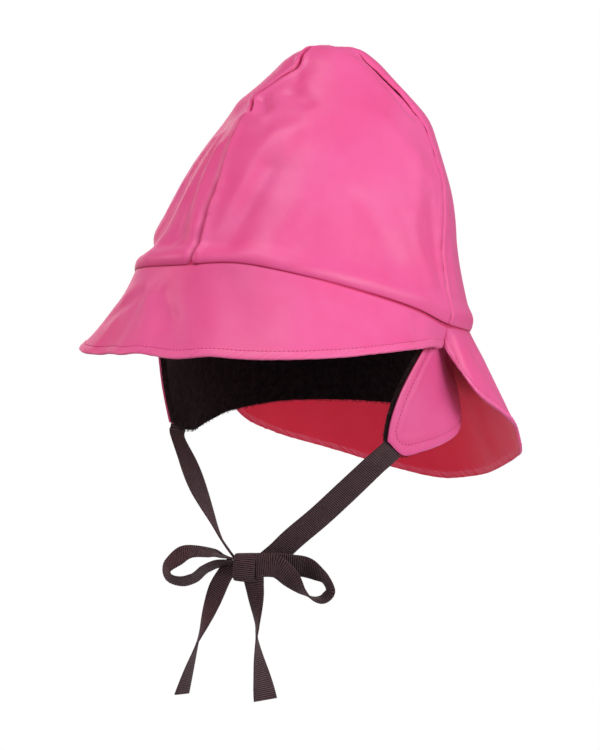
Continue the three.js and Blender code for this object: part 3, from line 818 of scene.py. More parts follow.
def cloth_group():
    """Coated cloth: two tones in soft clouds, the knit that shows through, hems a shade lighter, and a painted shadow
    along its seams.
    """
    nodes, given, out = new_group(
        "Coated cloth",
        [
            ("Colour", "Color", WHITE),
            ("Second tone", "Color", WHITE),
            ("Hem tone", "Color", WHITE),
            ("Hem share", "Float", 0.5),
            ("Seam share", "Float", SEAM_SHADOW_SHARE),
        ],
        [("Colour", "Color"), ("Roughness", "Float"), ("Height", "Float")],
    )
    place, cloth_map = nodes.place(), nodes.cloth_map()
    clouds = nodes.ramp(nodes.noise(place, 26, 4, 0.55), 0.35, 0.68)
    tone = nodes.mix(clouds, given["Colour"], given["Second tone"])
    long_map = nodes.add("Mapping", {"Vector": cloth_map, "Scale": (420, 18, 1)}).outputs["Vector"]
    streaks = nodes.ramp(nodes.noise(long_map, 1.0, 3, 0.6), 0.32, 0.66)
    in_hem = nodes.times(nodes.near("hem_mm", 3.4, 4.2), streaks)
    hemmed = nodes.mix(nodes.times(in_hem, given["Hem share"]), tone, given["Hem tone"])
    # painted shadow along the front seam and the seam with the brim
    seam_shadow = nodes.times(nodes.near("seam_mm", 0.2, 1.05), given["Seam share"])
    bands = {"Scale": 520, "Distortion": 0.6, "Vector": cloth_map}
    knit = [
        nodes.add("TexWave", bands, wave_type="BANDS", bands_direction=way).outputs["Fac"] for way in "XY"
    ]
    pebble = nodes.noise(place, 900, 2, 0.5)
    grain = nodes.plus(nodes.times(nodes.times(*knit), 0.45), pebble)
    creases = nodes.noise(place, 140, 5, 0.6)
    rough = nodes.times(nodes.noise(place, 60, 3, 0.5), 0.16)
    nodes.feed(out, {
        "Colour": nodes.mix(seam_shadow, hemmed, PAINTED_SEAM_SHADOW),
        "Roughness": nodes.plus(rough, 0.36),
        "Height": nodes.plus(grain, nodes.times(creases, 1.6)),
    })
    return nodes.tree


def nap_group():
    """Fleece: clumps of short pile, with painted shade at the roots and painted light on the tips."""
    nodes, given, out = new_group(
        "Fleece nap",
        [("Roots", "Color", BLACK), ("Tips", "Color", WHITE)],
        [("Colour", "Color"), ("Height", "Float")],
    )
    place = nodes.place()
    clumps = nodes.noise(place, 330, 5, 0.65)
    height = nodes.plus(clumps, nodes.times(nodes.noise(place, 1500, 2, 0.6), 0.5))
    # painted light on the high clumps, painted shade between them
    colour = nodes.mix(nodes.ramp(height, 0.55, 1.0), given["Roots"], given["Tips"])
    nodes.feed(out, {"Colour": colour, "Height": height})
    return nodes.tree


def rib_group():
    """Ribbed ribbon: ribs across its length in painted light, a fine thread along them and painted shade in the
    grooves between.
    """
    nodes, given, out = new_group(
        "Ribbed ribbon",
        [("Ribs", "Color", WHITE), ("Grooves", "Color", BLACK), ("Pitch", "Float", 0.001)],
        [("Colour", "Color"), ("Height", "Float")],
    )
    apart = nodes.add("SeparateXYZ", {0: nodes.cloth_map()}).outputs
    turn = nodes.times(nodes.math("DIVIDE", apart["Y"], given["Pitch"]), math.tau)
    rib = nodes.plus(nodes.times(nodes.math("COSINE", turn), 0.5), 0.5)
    threads = nodes.math("SINE", nodes.times(apart["X"], math.tau / RIBBON_THREAD))
    # random unevenness of the painted light on the ribs
    worn = nodes.plus(nodes.noise(nodes.place(), 240, 3, 0.6), 0.45)
    lit = nodes.times(nodes.ramp(rib, 0.15, 0.75), worn)
    nodes.feed(out, {
        "Colour": nodes.mix(lit, given["Grooves"], given["Ribs"]),
        "Height": nodes.plus(rib, nodes.times(threads, 0.05)),
    })
    return nodes.tree


GROUPS = {}


def group_of(maker):
    if maker not in GROUPS:
        GROUPS[maker] = maker()
    return GROUPS[maker]


def plain_material(name):
    """A new material with its ways to add nodes and its Principled shader."""
    material = bpy.data.materials.new(name)
    material.use_nodes = True
    return material, Nodes(material.node_tree), material.node_tree.nodes["Principled BSDF"]


def patterned(name, maker, given, bump, distance, finish):
    """A material with its pattern group, a bump from it and a Principled shader's plain finish."""
    material, nodes, shader = plain_material(name)
    pattern = nodes.add("Group", node_tree=group_of(maker))
    nodes.feed(pattern, given)
    relief = {"Strength": bump, "Distance": distance, "Height": pattern.outputs["Height"]}
    normal = nodes.add("Bump", relief).outputs["Normal"]
    nodes.feed(shader, {"Base Color": pattern.outputs["Colour"], "Normal": normal, **finish})
    if "Roughness" not in finish:
        nodes.feed(shader, {"Roughness": pattern.outputs["Roughness"]})
    return material


def cloth_material(name, colour, tone, hem_tone=None, hem_share=0.0, through=0.0):
    """Coated cloth, or without a hem tone its thread and the painted shade of its holes, on which no seam's painted
    shadow falls.
    """
    given = {"Colour": colour, "Second tone": tone, "Hem tone": hem_tone or colour, "Hem share": hem_share}
    given["Seam share"] = SEAM_SHADOW_SHARE if hem_tone else 0.0
    return patterned(name, cloth_group, given, bump=0.35, distance=0.00012, finish={
        "Specular IOR Level": 0.42,
        "Sheen Weight": 0.12,
        "Sheen Roughness": 0.4,
        "Sheen Tint": CLOTH_SHEEN,
        "Subsurface Weight": through,
        "Subsurface Radius": (1.0, 0.08, 0.2),
        "Subsurface Scale": 0.004,
    })


def inside_material():
    """The back of the cloth: a painted red glow stands for light that comes through it, it takes painted shade where
    it is shut in, and a painted sheen makes it paler at a slant.
    """
    tints = colours()
    plain = (tints.inside, tints.inside, tints.inside_hem)
    material = cloth_material("Back of the cloth", *plain, hem_share=0.7, through=0.35)
    nodes = Nodes(material.node_tree)
    shader = material.node_tree.nodes["Principled BSDF"]
    open_air = nodes.add("AmbientOcclusion", {"Distance": 0.06}, samples=8).outputs["AO"]
    # painted sheen: paler where the cloth is seen at a slant
    slanted = nodes.add("LayerWeight", {"Blend": 0.35}).outputs["Facing"]
    share = nodes.times(nodes.ramp(slanted, 0.25, 0.95), 0.72)
    straight = shader.inputs["Base Color"].links[0].from_socket
    paler = nodes.mix(share, straight, tints.inside_slanted)
    nodes.feed(shader, {
        # painted shade: darker red where ambient occlusion finds the cloth shut in
        "Base Color": nodes.mix(nodes.ramp(open_air, 0.1, 0.62), tints.inside_deep, paler),
        # painted glow for light coming through the cloth, weaker where it is shut in
        "Emission Color": PAINTED_THROUGH_GLOW,
        "Emission Strength": nodes.times(open_air, 0.1),
    })
    return material


def fleece_material():
    given = {"Roots": colours().fleece, "Tips": colours().fleece_tip}
    return patterned("Fleece", nap_group, given, bump=0.9, distance=0.0008, finish={
        "Roughness": 1.0,
        "Specular IOR Level": 0.1,
        "Sheen Weight": 0.3,
        "Sheen Roughness": 0.5,
        "Sheen Tint": FLEECE_SHEEN,
    })


def ribbon_material():
    given = {"Ribs": colours().ribbon, "Grooves": colours().ribbon_groove, "Pitch": sizes().rib}
    finish = {"Roughness": 0.7, "Specular IOR Level": 0.22, "Sheen Weight": 0.15}
    return patterned("Ribbed ribbon", rib_group, given, bump=0.4, distance=0.0002, finish=finish)


MATERIALS = {}


def finish_of(name):
    """One of the hat's materials, made the first time it is asked for."""
    if name not in MATERIALS:
        tints = colours()
        pinks = (tints.cloth, tints.cloth_shade, tints.hem)
        makers = {
            "cloth": lambda: cloth_material("Coated cloth", *pinks, hem_share=0.35, through=0.08),
            "inside": inside_material,
            "thread": lambda: cloth_material("Thread", tints.thread, tints.cloth_shade),
            "hole": lambda: cloth_material("Stitch hole", tints.hole, tints.hole),
            "fleece": fleece_material,
            "ribbon": ribbon_material,
        }
        MATERIALS[name] = makers[name]()
    return MATERIALS[name]


# How far a point of a cloth lies from its four edges in millimetres, and its share of the way up
Ways = namedtuple("Ways", "left right low high up")


class Cloth:
    """A grid of cloth with the ways from each of its points to the four edges."""

    def __init__(self, columns, rows, place, spacing=None, ring=False):
        self.ring = ring
        self.mesh = bmesh.new()
        self.uv = self.mesh.loops.layers.uv.new("UVMap")
        self.hem = self.mesh.verts.layers.float.new("hem_mm")
        self.seam = self.mesh.verts.layers.float.new("seam_mm")
        bmesh.ops.create_grid(self.mesh, x_segments=columns, y_segments=rows, size=0.5, calc_uvs=True)
        self.grid = {}
        for point in self.mesh.verts:
            column, row = round((point.co.x + 0.5) * columns), round((point.co.y + 0.5) * rows)
            self.grid[column, row] = point
            up = row / rows
            point.co = place(column / columns, spacing(up) if spacing else up)
        across = self.lengths([[(c, r) for c in range(columns + 1)] for r in range(rows + 1)])
        upwards = self.lengths([[(c, r) for r in range(rows + 1)] for c in range(columns + 1)])
        self.ways = {key: Ways(*across[key], *upwards[key], key[1] / rows) for key in self.grid}

    def lengths(self, lines):
        """For each point on some lines of the grid, how far it lies from the line's start and end."""
        found = {}
        for line in lines:
            runs = [0.0]
            for a, b in zip(line, line[1:]):
                runs.append(runs[-1] + (self.grid[b].co - self.grid[a].co).length)
            found.update({key: (run, runs[-1] - run) for key, run in zip(line, runs)})
        return found

    def lift(self, relief):
        """Moves each point along its normal by relief(ways, place), in millimetres."""
        self.mesh.normal_update()
        for key, point in self.grid.items():
            point.co += point.normal * relief(self.ways[key], point.co)

    def finish(self, name, materials, thickness, hem=None, seam=None, soften=None):
        """The object: a cloth of a thickness under the grid, its own map, and its ways to hems and seams."""
        ways_of = {point: self.ways[key] for key, point in self.grid.items()}
        for point, ways in ways_of.items():
            point[self.hem] = hem(ways) if hem else FAR
            point[self.seam] = seam(ways) if seam else FAR
        for face in self.mesh.faces:
            face.smooth = True
            for loop in face.loops:
                ways = ways_of[loop.vert]
                loop[self.uv].uv = (ways.left * MM, ways.low * MM)
        if self.ring:
            bmesh.ops.remove_doubles(self.mesh, verts=self.mesh.verts, dist=0.01)
            open_edges = [edge for edge in self.mesh.edges if edge.is_boundary and edge.verts[0].co.z > 100]
            bmesh.ops.holes_fill(self.mesh, edges=open_edges, sides=0)
        piece = new_piece(name, self.mesh, materials)
        wall = piece.modifiers.new("Thickness", "SOLIDIFY")
        having(wall, thickness=thickness * MM, offset=-1, material_offset=len(materials) - 1)
        edge = piece.modifiers.new("Soft edge", "BEVEL")
        having(edge, segments=2, limit_method="ANGLE", angle_limit=math.radians(55))
        edge.width = (soften or thickness * 0.32) * MM
        return piece


def new_piece(name, mesh, materials):
    """The object of a mesh in millimetres, with its materials."""
    bmesh.ops.scale(mesh, vec=(MM, MM, MM), verts=mesh.verts)
    data = bpy.data.meshes.new(name)
    mesh.to_mesh(data)
    mesh.free()
    for material in materials:
        data.materials.append(finish_of(material))
    piece = bpy.data.objects.new(name, data)
    bpy.context.scene.collection.objects.link(piece)
    return piece


def roughened(piece, amount, scale, seed):
    """Makes modifiers part of the mesh, and lifts its points unevenly, as the pile of fleece stands."""
    shown = piece.evaluated_get(bpy.context.evaluated_depsgraph_get())
    data = bpy.data.meshes.new_from_object(shown)
    piece.modifiers.clear()
    piece.data = data
    mesh = bmesh.new()
    mesh.from_mesh(data)
    mesh.normal_update()
    offset = Vector((seed, seed * 2.7, seed * 5.1))
    for point in mesh.verts:
        high = noise.noise(point.co * scale + offset) + 0.5 * noise.noise(point.co * scale * 2.6 + offset)
        point.co += point.normal * high * amount * MM
    mesh.to_mesh(data)
    mesh.free()


def belongs(piece, slot, *nodes):
    """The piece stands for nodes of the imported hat, and moves with it."""
    if nodes:
        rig.replaces(piece, *nodes)
    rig.ride(piece, "root")
    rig.slot(piece, slot)
    return piece


def hung(piece, node, parts=()):
    """The piece is a sheet of its node's flat size and cut area, with the small parts on it."""
    flat, area = SHEETS[node]
    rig.sheet(piece, flat=flat, held="hung", area=area, with_pieces=parts)


def uneven(point, seed):
    """The slight unevenness of cloth that has been packed and worn, in millimetres."""
    place = point * 0.028 + Vector((seed, 0, 0))
    return 0.45 * noise.noise(place) + 0.12 * noise.noise(place * 3.7)


def seam_roll(distance, depth=1.1, reach=0.7, ridge=0.3):
    """How the cloth turns down into a seam, and stands up over the turned-in edge beside it."""
    return -depth * bell(distance, reach) + ridge * bell(distance - 2.4, 1.4)


def hem_relief(distance, hem):
    """A turned-over hem: thicker to its line of stitches, which pulls in."""
    thick = 0.32 if distance < hem else 0.32 * bell(distance - hem, 0.5)
    return thick - 0.16 * bell(distance - hem, 0.6) - 0.25 * bell(distance, 0.5)


class Heap:
    """Many small bodies in one mesh, gathered a batch at a time."""

    def __init__(self):
        self.whole, self.batch, self.count = self.empty(), self.empty(), 0

    @staticmethod
    def empty():
        mesh = bmesh.new()
        mesh.loops.layers.uv.new("UVMap")
        return mesh

    def add(self, make, material=0, **values):
        for point in make(self.batch, **values)["verts"]:
            for face in point.link_faces:
                face.smooth = True
                face.material_index = material
        self.count += 1
        if self.count % 40 == 0:
            self.gather()

    def gather(self):
        data = bpy.data.meshes.new("Batch")
        self.batch.to_mesh(data)
        self.batch.free()
        self.whole.from_mesh(data)
        bpy.data.meshes.remove(data)
        self.batch = self.empty()

    def finish(self, name, materials):
        self.gather()
        self.batch.free()
        return new_piece(name, self.whole, materials)


def stitches(name, line, cloth):
    """A row of stitches along a line of places: the thread on top, and the holes that it goes down in, as dark dents
    of painted shade.
    """
    pitch, length, thread = (value / MM for value in (sizes().stitch, sizes().stitch_length, sizes().thread))
    surface = BVHTree.FromObject(cloth, bpy.context.evaluated_depsgraph_get())
    heap = Heap()
    # each hole is a small dark dent of painted shade between the stitches
    hole = (pitch - length) * 0.95
    kinds = (((length, thread, thread), 0.08, 0), ((hole, thread * 1.5, 0.12), 0.0, 1))
    run, due, count = 0.0, pitch / 2, 0
    for a, b in zip(line, line[1:]):
        step = (b - a).length
        while run + step >= due:
            place, normal, _, _ = surface.find_nearest(a.lerp(b, (due - run) / step) * MM)
            along = (b - a).normalized()
            across = normal.cross(along).normalized()
            turn = Matrix((across.cross(normal), across, normal)).transposed().to_4x4()
            size, lift, material = kinds[count % 2]
            where = Matrix.Translation(place / MM + normal * lift) @ turn
            where = where @ Matrix.Diagonal((size[0] / 2, size[1] / 2, size[2] / 2, 1))
            heap.add(bmesh.ops.create_uvsphere, material, u_segments=8, v_segments=5, radius=1, matrix=where)
            due += pitch / 2
            count += 1
        run += step
    return belongs(heap.finish(name, ["thread", "hole"]), "coated_cloth")


def tufts(name, line, out, count, seed):
    """Loose ends of pile along a line of places, standing out roughly one way."""
    rng = random.Random(seed)
    pile = sizes().pile / MM
    heap = Heap()
    for _ in range(count):
        place = rng.random() * (len(line) - 1)
        i = min(int(place), len(line) - 2)
        root = line[i].lerp(line[i + 1], place - i)
        lean = out + Vector([rng.uniform(-0.7, 0.7) for _ in range(3)])
        root = root + Vector([rng.uniform(-0.8, 0.8) for _ in range(3)])
        turn = lean.to_track_quat("Z", "Y").to_matrix().to_4x4()
        length = pile * rng.uniform(0.5, 1.0)
        where = Matrix.Translation(root + lean.normalized() * length / 2) @ turn
        tuft = {"cap_ends": True, "segments": 3, "radius1": 0.14, "radius2": 0.02, "depth": length}
        heap.add(bmesh.ops.create_cone, matrix=where, **tuft)
    return belongs(heap.finish(name, ["fleece"]), "fleece")


class RAINHAT_OT_crown(bpy.types.Operator):
    """Sews the crown of four panels of coated cloth."""

    bl_idname = "rain_hat.crown"
    bl_label = "Crown panels"

    def execute(self, context):
        for panel, name in enumerate(PANELS):
            cloth = Cloth(*PANEL_GRID, lambda across, up: crown(panel + across, up, 0))

            def relief(ways, place):
                side = min(ways.left, ways.right)
                front = self.front_seam(panel, ways)
                top = min(ways.high / 12, 1)
                pucker = 0.5 * noise.noise(Vector((panel * 5.0, ways.low * 0.16, 0))) * bell(side - 1.5, 2.4)
                edges = seam_roll(front) * top + seam_roll(side, 0.35, 0.5, 0.5) * top * min(front / 9, 1)
                edges += seam_roll(ways.low, 0.35, 0.4, 0.1) + self.laps(panel, ways)
                bottom = (0.7 if panel == 3 else 0.1) * bell(ways.low - 7, 4.5)
                return edges + bottom + pucker * top + uneven(place, panel) * min(side / 4, 1)

            cloth.lift(relief)
            piece = cloth.finish(
                name + "_cloth", ["cloth", "inside"], CLOTH, seam=lambda ways: self.depth_in_seam(panel, ways)
            )
            belongs(piece, "coated_cloth", name)
            hung(piece, name)
        return {"FINISHED"}

    @staticmethod
    def front_seam(panel, ways):
        """How far a point lies from the front seam."""
        return ways.left if panel == 0 else ways.right if panel == 3 else FAR

    def depth_in_seam(self, panel, ways):
        """How near a seam with its painted shadow is: the front one and the one with the brim, above all."""
        nearest = min(self.front_seam(panel, ways), ways.low + 0.25, min(ways.left, ways.right) + 0.5)
        return nearest if ways.high > 3 else FAR

    @staticmethod
    def laps(panel, ways):
        """The edges that stand proud of a seam, and those that lie under it."""
        upper = 0.6 * bell(ways.up - 0.76, 0.11)
        if panel == 0:
            return 0.5 * bell(ways.left - 1.6, 1.6) - upper * bell(ways.right, 3)
        if panel == 1:
            return upper * bell(ways.left - 1.8, 2.2)
        if panel == 2:
            return 0.0
        lower = clamp((0.56 - ways.up) / 0.12)
        return (1 - lower) * 0.9 * bell(ways.right - 1.4, 1.8) - lower * 1.3 * bell(ways.right, 2.6)


class RAINHAT_OT_crown_lining(bpy.types.Operator):
    """Lines the crown with fleece."""

    bl_idname = "rain_hat.crown_lining"
    bl_label = "Crown lining"

    def execute(self, context):
        depth = CLOTH + GAP + 1.3
        cloth = Cloth(*LINING_GRID, lambda turn, up: crown(4 * turn, 0.002 + 0.985 * up, depth), ring=True)
        piece = cloth.finish("crown_lining_fleece", ["fleece"], FLEECE - 1, soften=0.8)
        roughened(piece, amount=0.18, scale=420, seed=3)
        belongs(piece, "fleece", "crown_lining")
        hung(piece, "crown_lining")
        return {"FINISHED"}


def near_edge(t):
    """Spaces the rows of a brim closest together at its hem."""
    return t**1.7 * 1.045


def slant(rows, direction):
    """How long a brim is from its edge up to its seam."""
    return math.hypot(*(smooth(rows, "direction", name, direction) for name in ("out", "drop")))


def brim_piece(name, rows, curl, bare):
    """A brim with its hem's stitches, which leave some of the line's points bare at its ends."""
    hem = sizes().hem / MM
    start, end = rows[0]["direction"], rows[-1]["direction"]
    columns = BRIM_COLUMNS[name]

    def place_of(across, up):
        share = across - 0.5 * math.sin(2 * math.pi * across) / (2 * math.pi)
        return brim(rows, curl, mix(start - BRIM_LAP, end + BRIM_LAP, share), up)

    def relief(ways, place):
        side = min(ways.left, ways.right)
        pucker = noise.noise(Vector((ways.left * 0.55, ways.low * 0.12, 7.0)))
        return (
            hem_relief(ways.low, hem) * min(ways.high / 5, 1)
            + seam_roll(side, 0.35, 0.5, 0.25)
            + 0.22 * pucker * bell(ways.low - hem / 2, hem * 1.2)
            + uneven(place, columns) * min(ways.high / 8, 1)
        )

    cloth = Cloth(columns, BRIM_ROWS, place_of, spacing=near_edge)
    cloth.lift(relief)
    piece = cloth.finish(
        name + "_cloth",
        ["cloth", "inside"],
        CLOTH,
        hem=lambda ways: ways.low,
        # how near the seams' painted shadow lies
        seam=lambda ways: min(ways.left + 0.4, ways.right + 0.4, max(ways.high - 2.1, 0.1)),
    )
    belongs(piece, "coated_cloth", name)
    directions = [mix(start, end, (i + 0.5) / LINE_POINTS) for i in range(LINE_POINTS)]
    line = [brim(rows, curl, way, hem / max(slant(rows, way), hem)) for way in directions]
    hung(piece, name, [stitches(name + "_stitches", line[bare:-bare], piece)])


class RAINHAT_OT_brims(bpy.types.Operator):
    """Makes the front brim and the long neck brim with their stitched hems."""

    bl_idname = "rain_hat.brims"
    bl_label = "Brims"

    def execute(self, context):
        brim_piece("brim_front", FRONT_BRIM, curl=FRONT_CURL, bare=4)
        brim_piece("brim_back", BACK_BRIM, curl=0, bare=6)
        return {"FINISHED"}


class RAINHAT_OT_flap(bpy.types.Operator):
    """Makes the ear and neck flap: coated cloth outside, fleece inside."""

    bl_idname = "rain_hat.flap"
    bl_label = "Ear and neck flap"

    def execute(self, context):
        line_in = sizes().flap_hem / MM
        cloth = Cloth(*FLAP_GRID, lambda across, up: flap(across, up, 0))

        def relief(ways, place):
            inside = min(ways.left, ways.right, ways.low)
            groove = -0.18 * bell(inside - line_in, 0.8) + 0.25 * bell(inside - line_in - 2.5, 1.8)
            round_edge = -0.5 * bell(inside, 0.9)
            return groove + round_edge + uneven(place, 11) * min(ways.high / 8, 1)

        cloth.lift(relief)
        shell = cloth.finish("flap_shell_cloth", ["cloth", "inside"], CLOTH)
        belongs(shell, "coated_cloth", "flap_shell")
        hung(shell, "flap_shell", [stitches("flap_stitches", self.seam_line(line_in), shell)])

        depth = CLOTH + GAP
        lining = Cloth(*FLAP_LINING_GRID, lambda across, up: flap(across, up, depth))
        piece = lining.finish("flap_lining_fleece", ["fleece"], FLEECE, soften=1.1)
        roughened(piece, amount=0.22, scale=480, seed=8)
        belongs(piece, "fleece", "flap_lining")
        middle = depth + FLEECE / 2
        lower = [flap(i / EDGE_POINTS, 0, middle) for i in range(EDGE_POINTS + 1)]
        fuzz = [tufts("flap_fuzz_lower", lower, Vector((0, 0, -1)), count=2600, seed=5)]
        for side, name in enumerate(("flap_fuzz_left", "flap_fuzz_right")):
            edge = [flap(side, i / FUZZ_POINTS, middle) for i in range(FUZZ_POINTS + 1)]
            fuzz.append(tufts(name, edge, Vector((0, -1, -0.2)), count=700, seed=21 + side))
        hung(piece, "flap_lining", fuzz)
        return {"FINISHED"}

    @staticmethod
    def seam_line(inside):
        """The line of stitches: down the front edge, along the lower edge and up at the far side."""
        side = inside / FLAP_LENGTH
        level = inside / FLAP_HEIGHT
        start = level * 1.6
        climb = FLAP_SEAM_TOP - start
        steps = [i / SIDE_POINTS for i in range(SIDE_POINTS + 1)]
        down = [flap(side + 0.012 * (1 - step), FLAP_SEAM_TOP - climb * step, 0) for step in steps]
        shares = [mix(side * 1.5, 1 - side * 1.5, i / EDGE_POINTS) for i in range(EDGE_POINTS + 1)]
        rise = [flap(1 - side, start + climb * step, 0) for step in steps]
        return down + [flap(share, level, 0) for share in shares] + rise


def ribbon(name, path, width=RIBBON_WIDTH):
    """A ribbed ribbon along a path: a flat tube of cloth with a rib at each pitch."""
    pitch, thickness = sizes().rib / MM, sizes().ribbon_thickness / MM
    rows = max(int(path.length / pitch * ROWS_PER_RIB), 20)
    mesh = bmesh.new()
    uv = mesh.loops.layers.uv.new("UVMap")
    bmesh.ops.create_grid(mesh, x_segments=RIBBON_COLUMNS, y_segments=rows, size=0.5, calc_uvs=True)
    frames = [path.frame(path.length * row / rows) for row in range(rows + 1)]
    spots = {}
    for point in mesh.verts:
        row = round((point.co.y + 0.5) * rows)
        angle = -math.tau * (point.co.x + 0.5)
        place, across, face = frames[row]
        flat, up = math.cos(angle), math.sin(angle)
        along = path.length * row / rows
        rib = 0.5 + 0.5 * math.cos(math.tau * along / pitch)
        side = math.copysign(abs(flat) ** 0.55, flat) * (width / 2 - 0.12 * (1 - rib))
        middle = 0.18 * noise.noise(Vector((along * 0.12, 3.1, 0))) * (1 - flat * flat)
        out = math.copysign(abs(up) ** 0.45, up) * (thickness / 2 + 0.13 * rib) + middle
        spots[point] = (side, along)
        point.co = BOW_FRAME @ (place + across * side + face * out)
    for face in mesh.faces:
        face.smooth = True
        for loop in face.loops:
            side, along = spots[loop.vert]
            loop[uv].uv = ((side + width / 2) * MM, along * MM)
    bmesh.ops.remove_doubles(mesh, verts=mesh.verts, dist=0.004)
    bmesh.ops.holes_fill(mesh, edges=[edge for edge in mesh.edges if edge.is_boundary], sides=0)
    bmesh.ops.recalc_face_normals(mesh, faces=mesh.faces)
    return new_piece(name, mesh, ["ribbon"])


def ribbon_piece(node, start_on=0.0, end_on=0.0):
    """The ribbon of a node, with its ends led on by some millimetres."""
    path = RibbonPath(RIBBONS[node], start_on, end_on)
    piece = ribbon(node + "_ribbon", path)
    belongs(piece, "ribbon", node)
    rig.sheet(piece, flat=(RIBBON_WIDTH * MM, path.length * MM), held="hung")


class RAINHAT_OT_ties(bpy.types.Operator):
    """Makes the two ribbon ties from the flap's corners to the bow."""

    bl_idname = "rain_hat.ties"
    bl_label = "Ties"

    def execute(self, context):
        ribbon_piece("tie_left", 1.0, 2.2)
        ribbon_piece("tie_right", 1.0, 2.6)
        return {"FINISHED"}


class RAINHAT_OT_bow(bpy.types.Operator):
    """Makes the bow: two loops, two tails and the ribbon wound round its middle."""

    bl_idname = "rain_hat.bow"
    bl_label = "Bow"

    def execute(self, context):
        ribbon_piece("bow_loop_left", 2.0, 2.0)
        ribbon_piece("bow_loop_right", 2.6, 2.6)
        ribbon_piece("bow_tail_left")
        ribbon_piece("bow_tail_right")
        self.knot()
        return {"FINISHED"}

    def knot(self):
        rows = []
        for i in range(49):
            turn = math.tau * i / 48
            out, high = (
                half * math.copysign(abs(way) ** 0.75, way)
                for half, way in zip(KNOT_WRAP_HALF, (math.cos(turn), math.sin(turn)))
            )
            rows.append((0.25 * math.sin(turn * 2), out, high + 0.1, 1, 0, 0.05 * math.sin(turn)))
        wrap = ribbon("bow_knot_wrap", RibbonPath(rows), KNOT_WRAP_WIDTH)
        belongs(wrap, "ribbon", "bow_knot")
        mesh = bmesh.new()
        mesh.loops.layers.uv.new("UVMap")
        bmesh.ops.create_icosphere(mesh, subdivisions=4, radius=1)
        wide, deep, high = KNOT_CORE_HALF
        for point in mesh.verts:
            crease = 1 + 0.05 * math.sin(point.co.z * 9 + point.co.x * 2)
            co = Vector((point.co.x * wide, point.co.y * deep * crease, point.co.z * high * crease))
            point.co = BOW_FRAME @ co
        for face in mesh.faces:
            face.smooth = True
        core = belongs(new_piece("bow_knot_core", mesh, ["ribbon"]), "ribbon")
        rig.sheet(wrap, flat=KNOT_WRAP_FLAT, held="folded", with_pieces=[core])


def way_to(turn, height):
    """The way from the hat to a place by its turn round from the front and its height, in degrees."""
    turn, height = math.radians(turn), math.radians(height)
    return Vector((math.sin(turn) * math.cos(height), -math.cos(turn) * math.cos(height), math.sin(height)))


def area_light(name, turn, height, size, power, colour):
    data = having(bpy.data.lights.new(name, "AREA"), shape="DISK", size=size, energy=power, color=colour)
    light = bpy.data.objects.new(name, data)
    light.location = way_to(turn, height) * LIGHT_DISTANCE + LIGHT_AIM
    light.rotation_euler = way_to(turn, height).to_track_quat("Z", "Y").to_euler()
    bpy.context.scene.collection.objects.link(light)


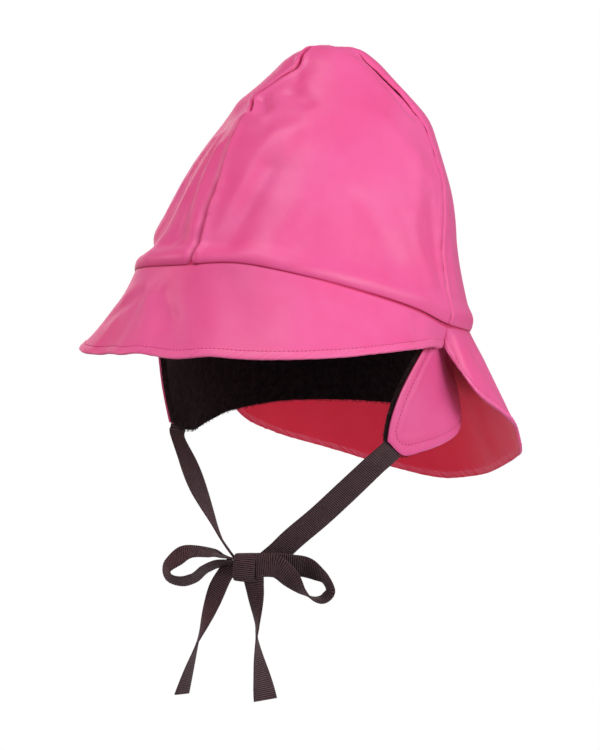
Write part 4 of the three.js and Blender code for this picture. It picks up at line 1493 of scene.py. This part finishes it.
class RAINHAT_OT_stage(bpy.types.Operator):
    """Sets the pale floor, the studio lights and the camera."""

    bl_idname = "rain_hat.stage"
    bl_label = "Stage"

    def execute(self, context):
        context.scene.view_settings.view_transform = "Standard"
        self.camera(context.scene)
        self.floor(context.scene)
        for light in LIGHTS:
            area_light(**light)
        self.air(context.scene)
        return {"FINISHED"}

    @staticmethod
    def camera(scene):
        back = way_to(VIEW_TURN, VIEW_HEIGHT)
        right = Vector((math.cos(math.radians(VIEW_TURN)), math.sin(math.radians(VIEW_TURN)), 0))
        data = having(bpy.data.cameras.new("Camera"), lens=LENS, sensor_width=36, clip_end=200)
        camera = bpy.data.objects.new("Camera", data)
        aim = (right * AIM[0] + back.cross(right) * AIM[1]) * MM
        camera.location = back * VIEW_DISTANCE
        camera.rotation_euler = (camera.location - aim).to_track_quat("Z", "Y").to_euler()
        scene.collection.objects.link(camera)
        scene.camera = camera

    @staticmethod
    def floor(scene):
        mesh = bmesh.new()
        bmesh.ops.create_circle(mesh, cap_ends=True, segments=96, radius=FLOOR_RADIUS)
        bmesh.ops.translate(mesh, verts=mesh.verts, vec=(0, 0, FLOOR_HEIGHT))
        data = bpy.data.meshes.new("Floor")
        mesh.to_mesh(data)
        mesh.free()
        material, nodes, shader = plain_material("Floor")
        nodes.feed(shader, {"Base Color": (0.5, 0.5, 0.5, 1), "Roughness": 0.9, "Specular IOR Level": 0.1})
        bright = nodes.add("Emission", {"Color": colours().floor})
        nodes.feed(material.node_tree.nodes["Material Output"], {"Surface": nodes.in_view(shader, bright)})
        data.materials.append(material)
        floor = bpy.data.objects.new("Floor", data)
        scene.collection.objects.link(floor)
        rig.stage(floor)

    @staticmethod
    def air(scene):
        world = bpy.data.worlds.new("Studio")
        scene.world = world
        world.use_nodes = True
        world.node_tree.nodes.clear()
        nodes = Nodes(world.node_tree)
        lit = nodes.add("Background", {"Color": AIR_TINT, "Strength": AIR_STRENGTH})
        seen = nodes.add("Background", {"Color": WHITE, "Strength": 1.0})
        nodes.add("OutputWorld", {"Surface": nodes.in_view(lit, seen)})


class RAINHAT_PT_pieces(bpy.types.Panel):
    bl_label = "Rain hat"
    bl_space_type = "VIEW_3D"
    bl_region_type = "UI"
    bl_category = "Rain hat"

    def draw(self, context):
        layout = self.layout
        for operator in OPERATORS:
            layout.operator(operator.bl_idname)
        for group in (context.scene.rain_hat_sizes, context.scene.rain_hat_colours):
            box = layout.box()
            for name in group.bl_rna.properties.keys():
                if name not in ("rna_type", "name"):
                    box.prop(group, name)


OPERATORS = (
    RAINHAT_OT_stage,
    RAINHAT_OT_crown,
    RAINHAT_OT_crown_lining,
    RAINHAT_OT_brims,
    RAINHAT_OT_flap,
    RAINHAT_OT_ties,
    RAINHAT_OT_bow,
)
CLASSES = (RainHatSizes, RainHatColours, *OPERATORS, RAINHAT_PT_pieces)


def register():
    for thing in CLASSES:
        bpy.utils.register_class(thing)
    bpy.types.Scene.rain_hat_sizes = bpy.props.PointerProperty(type=RainHatSizes)
    bpy.types.Scene.rain_hat_colours = bpy.props.PointerProperty(type=RainHatColours)


def unregister():
    del bpy.types.Scene.rain_hat_colours
    del bpy.types.Scene.rain_hat_sizes
    for thing in reversed(CLASSES):
        bpy.utils.unregister_class(thing)


def main():
    register()
    bpy.ops.rain_hat.stage()
    bpy.ops.rain_hat.crown()
    bpy.ops.rain_hat.crown_lining()
    bpy.ops.rain_hat.brims()
    bpy.ops.rain_hat.flap()
    bpy.ops.rain_hat.ties()
    bpy.ops.rain_hat.bow()
    boxes = {"cad": [list(corner) for corner in CAD_BOX], "visual": [list(corner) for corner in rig.bounds()]}
    with open("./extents.json", "w") as file:
        json.dump(boxes, file)


if __name__ == "__main__":
    main()
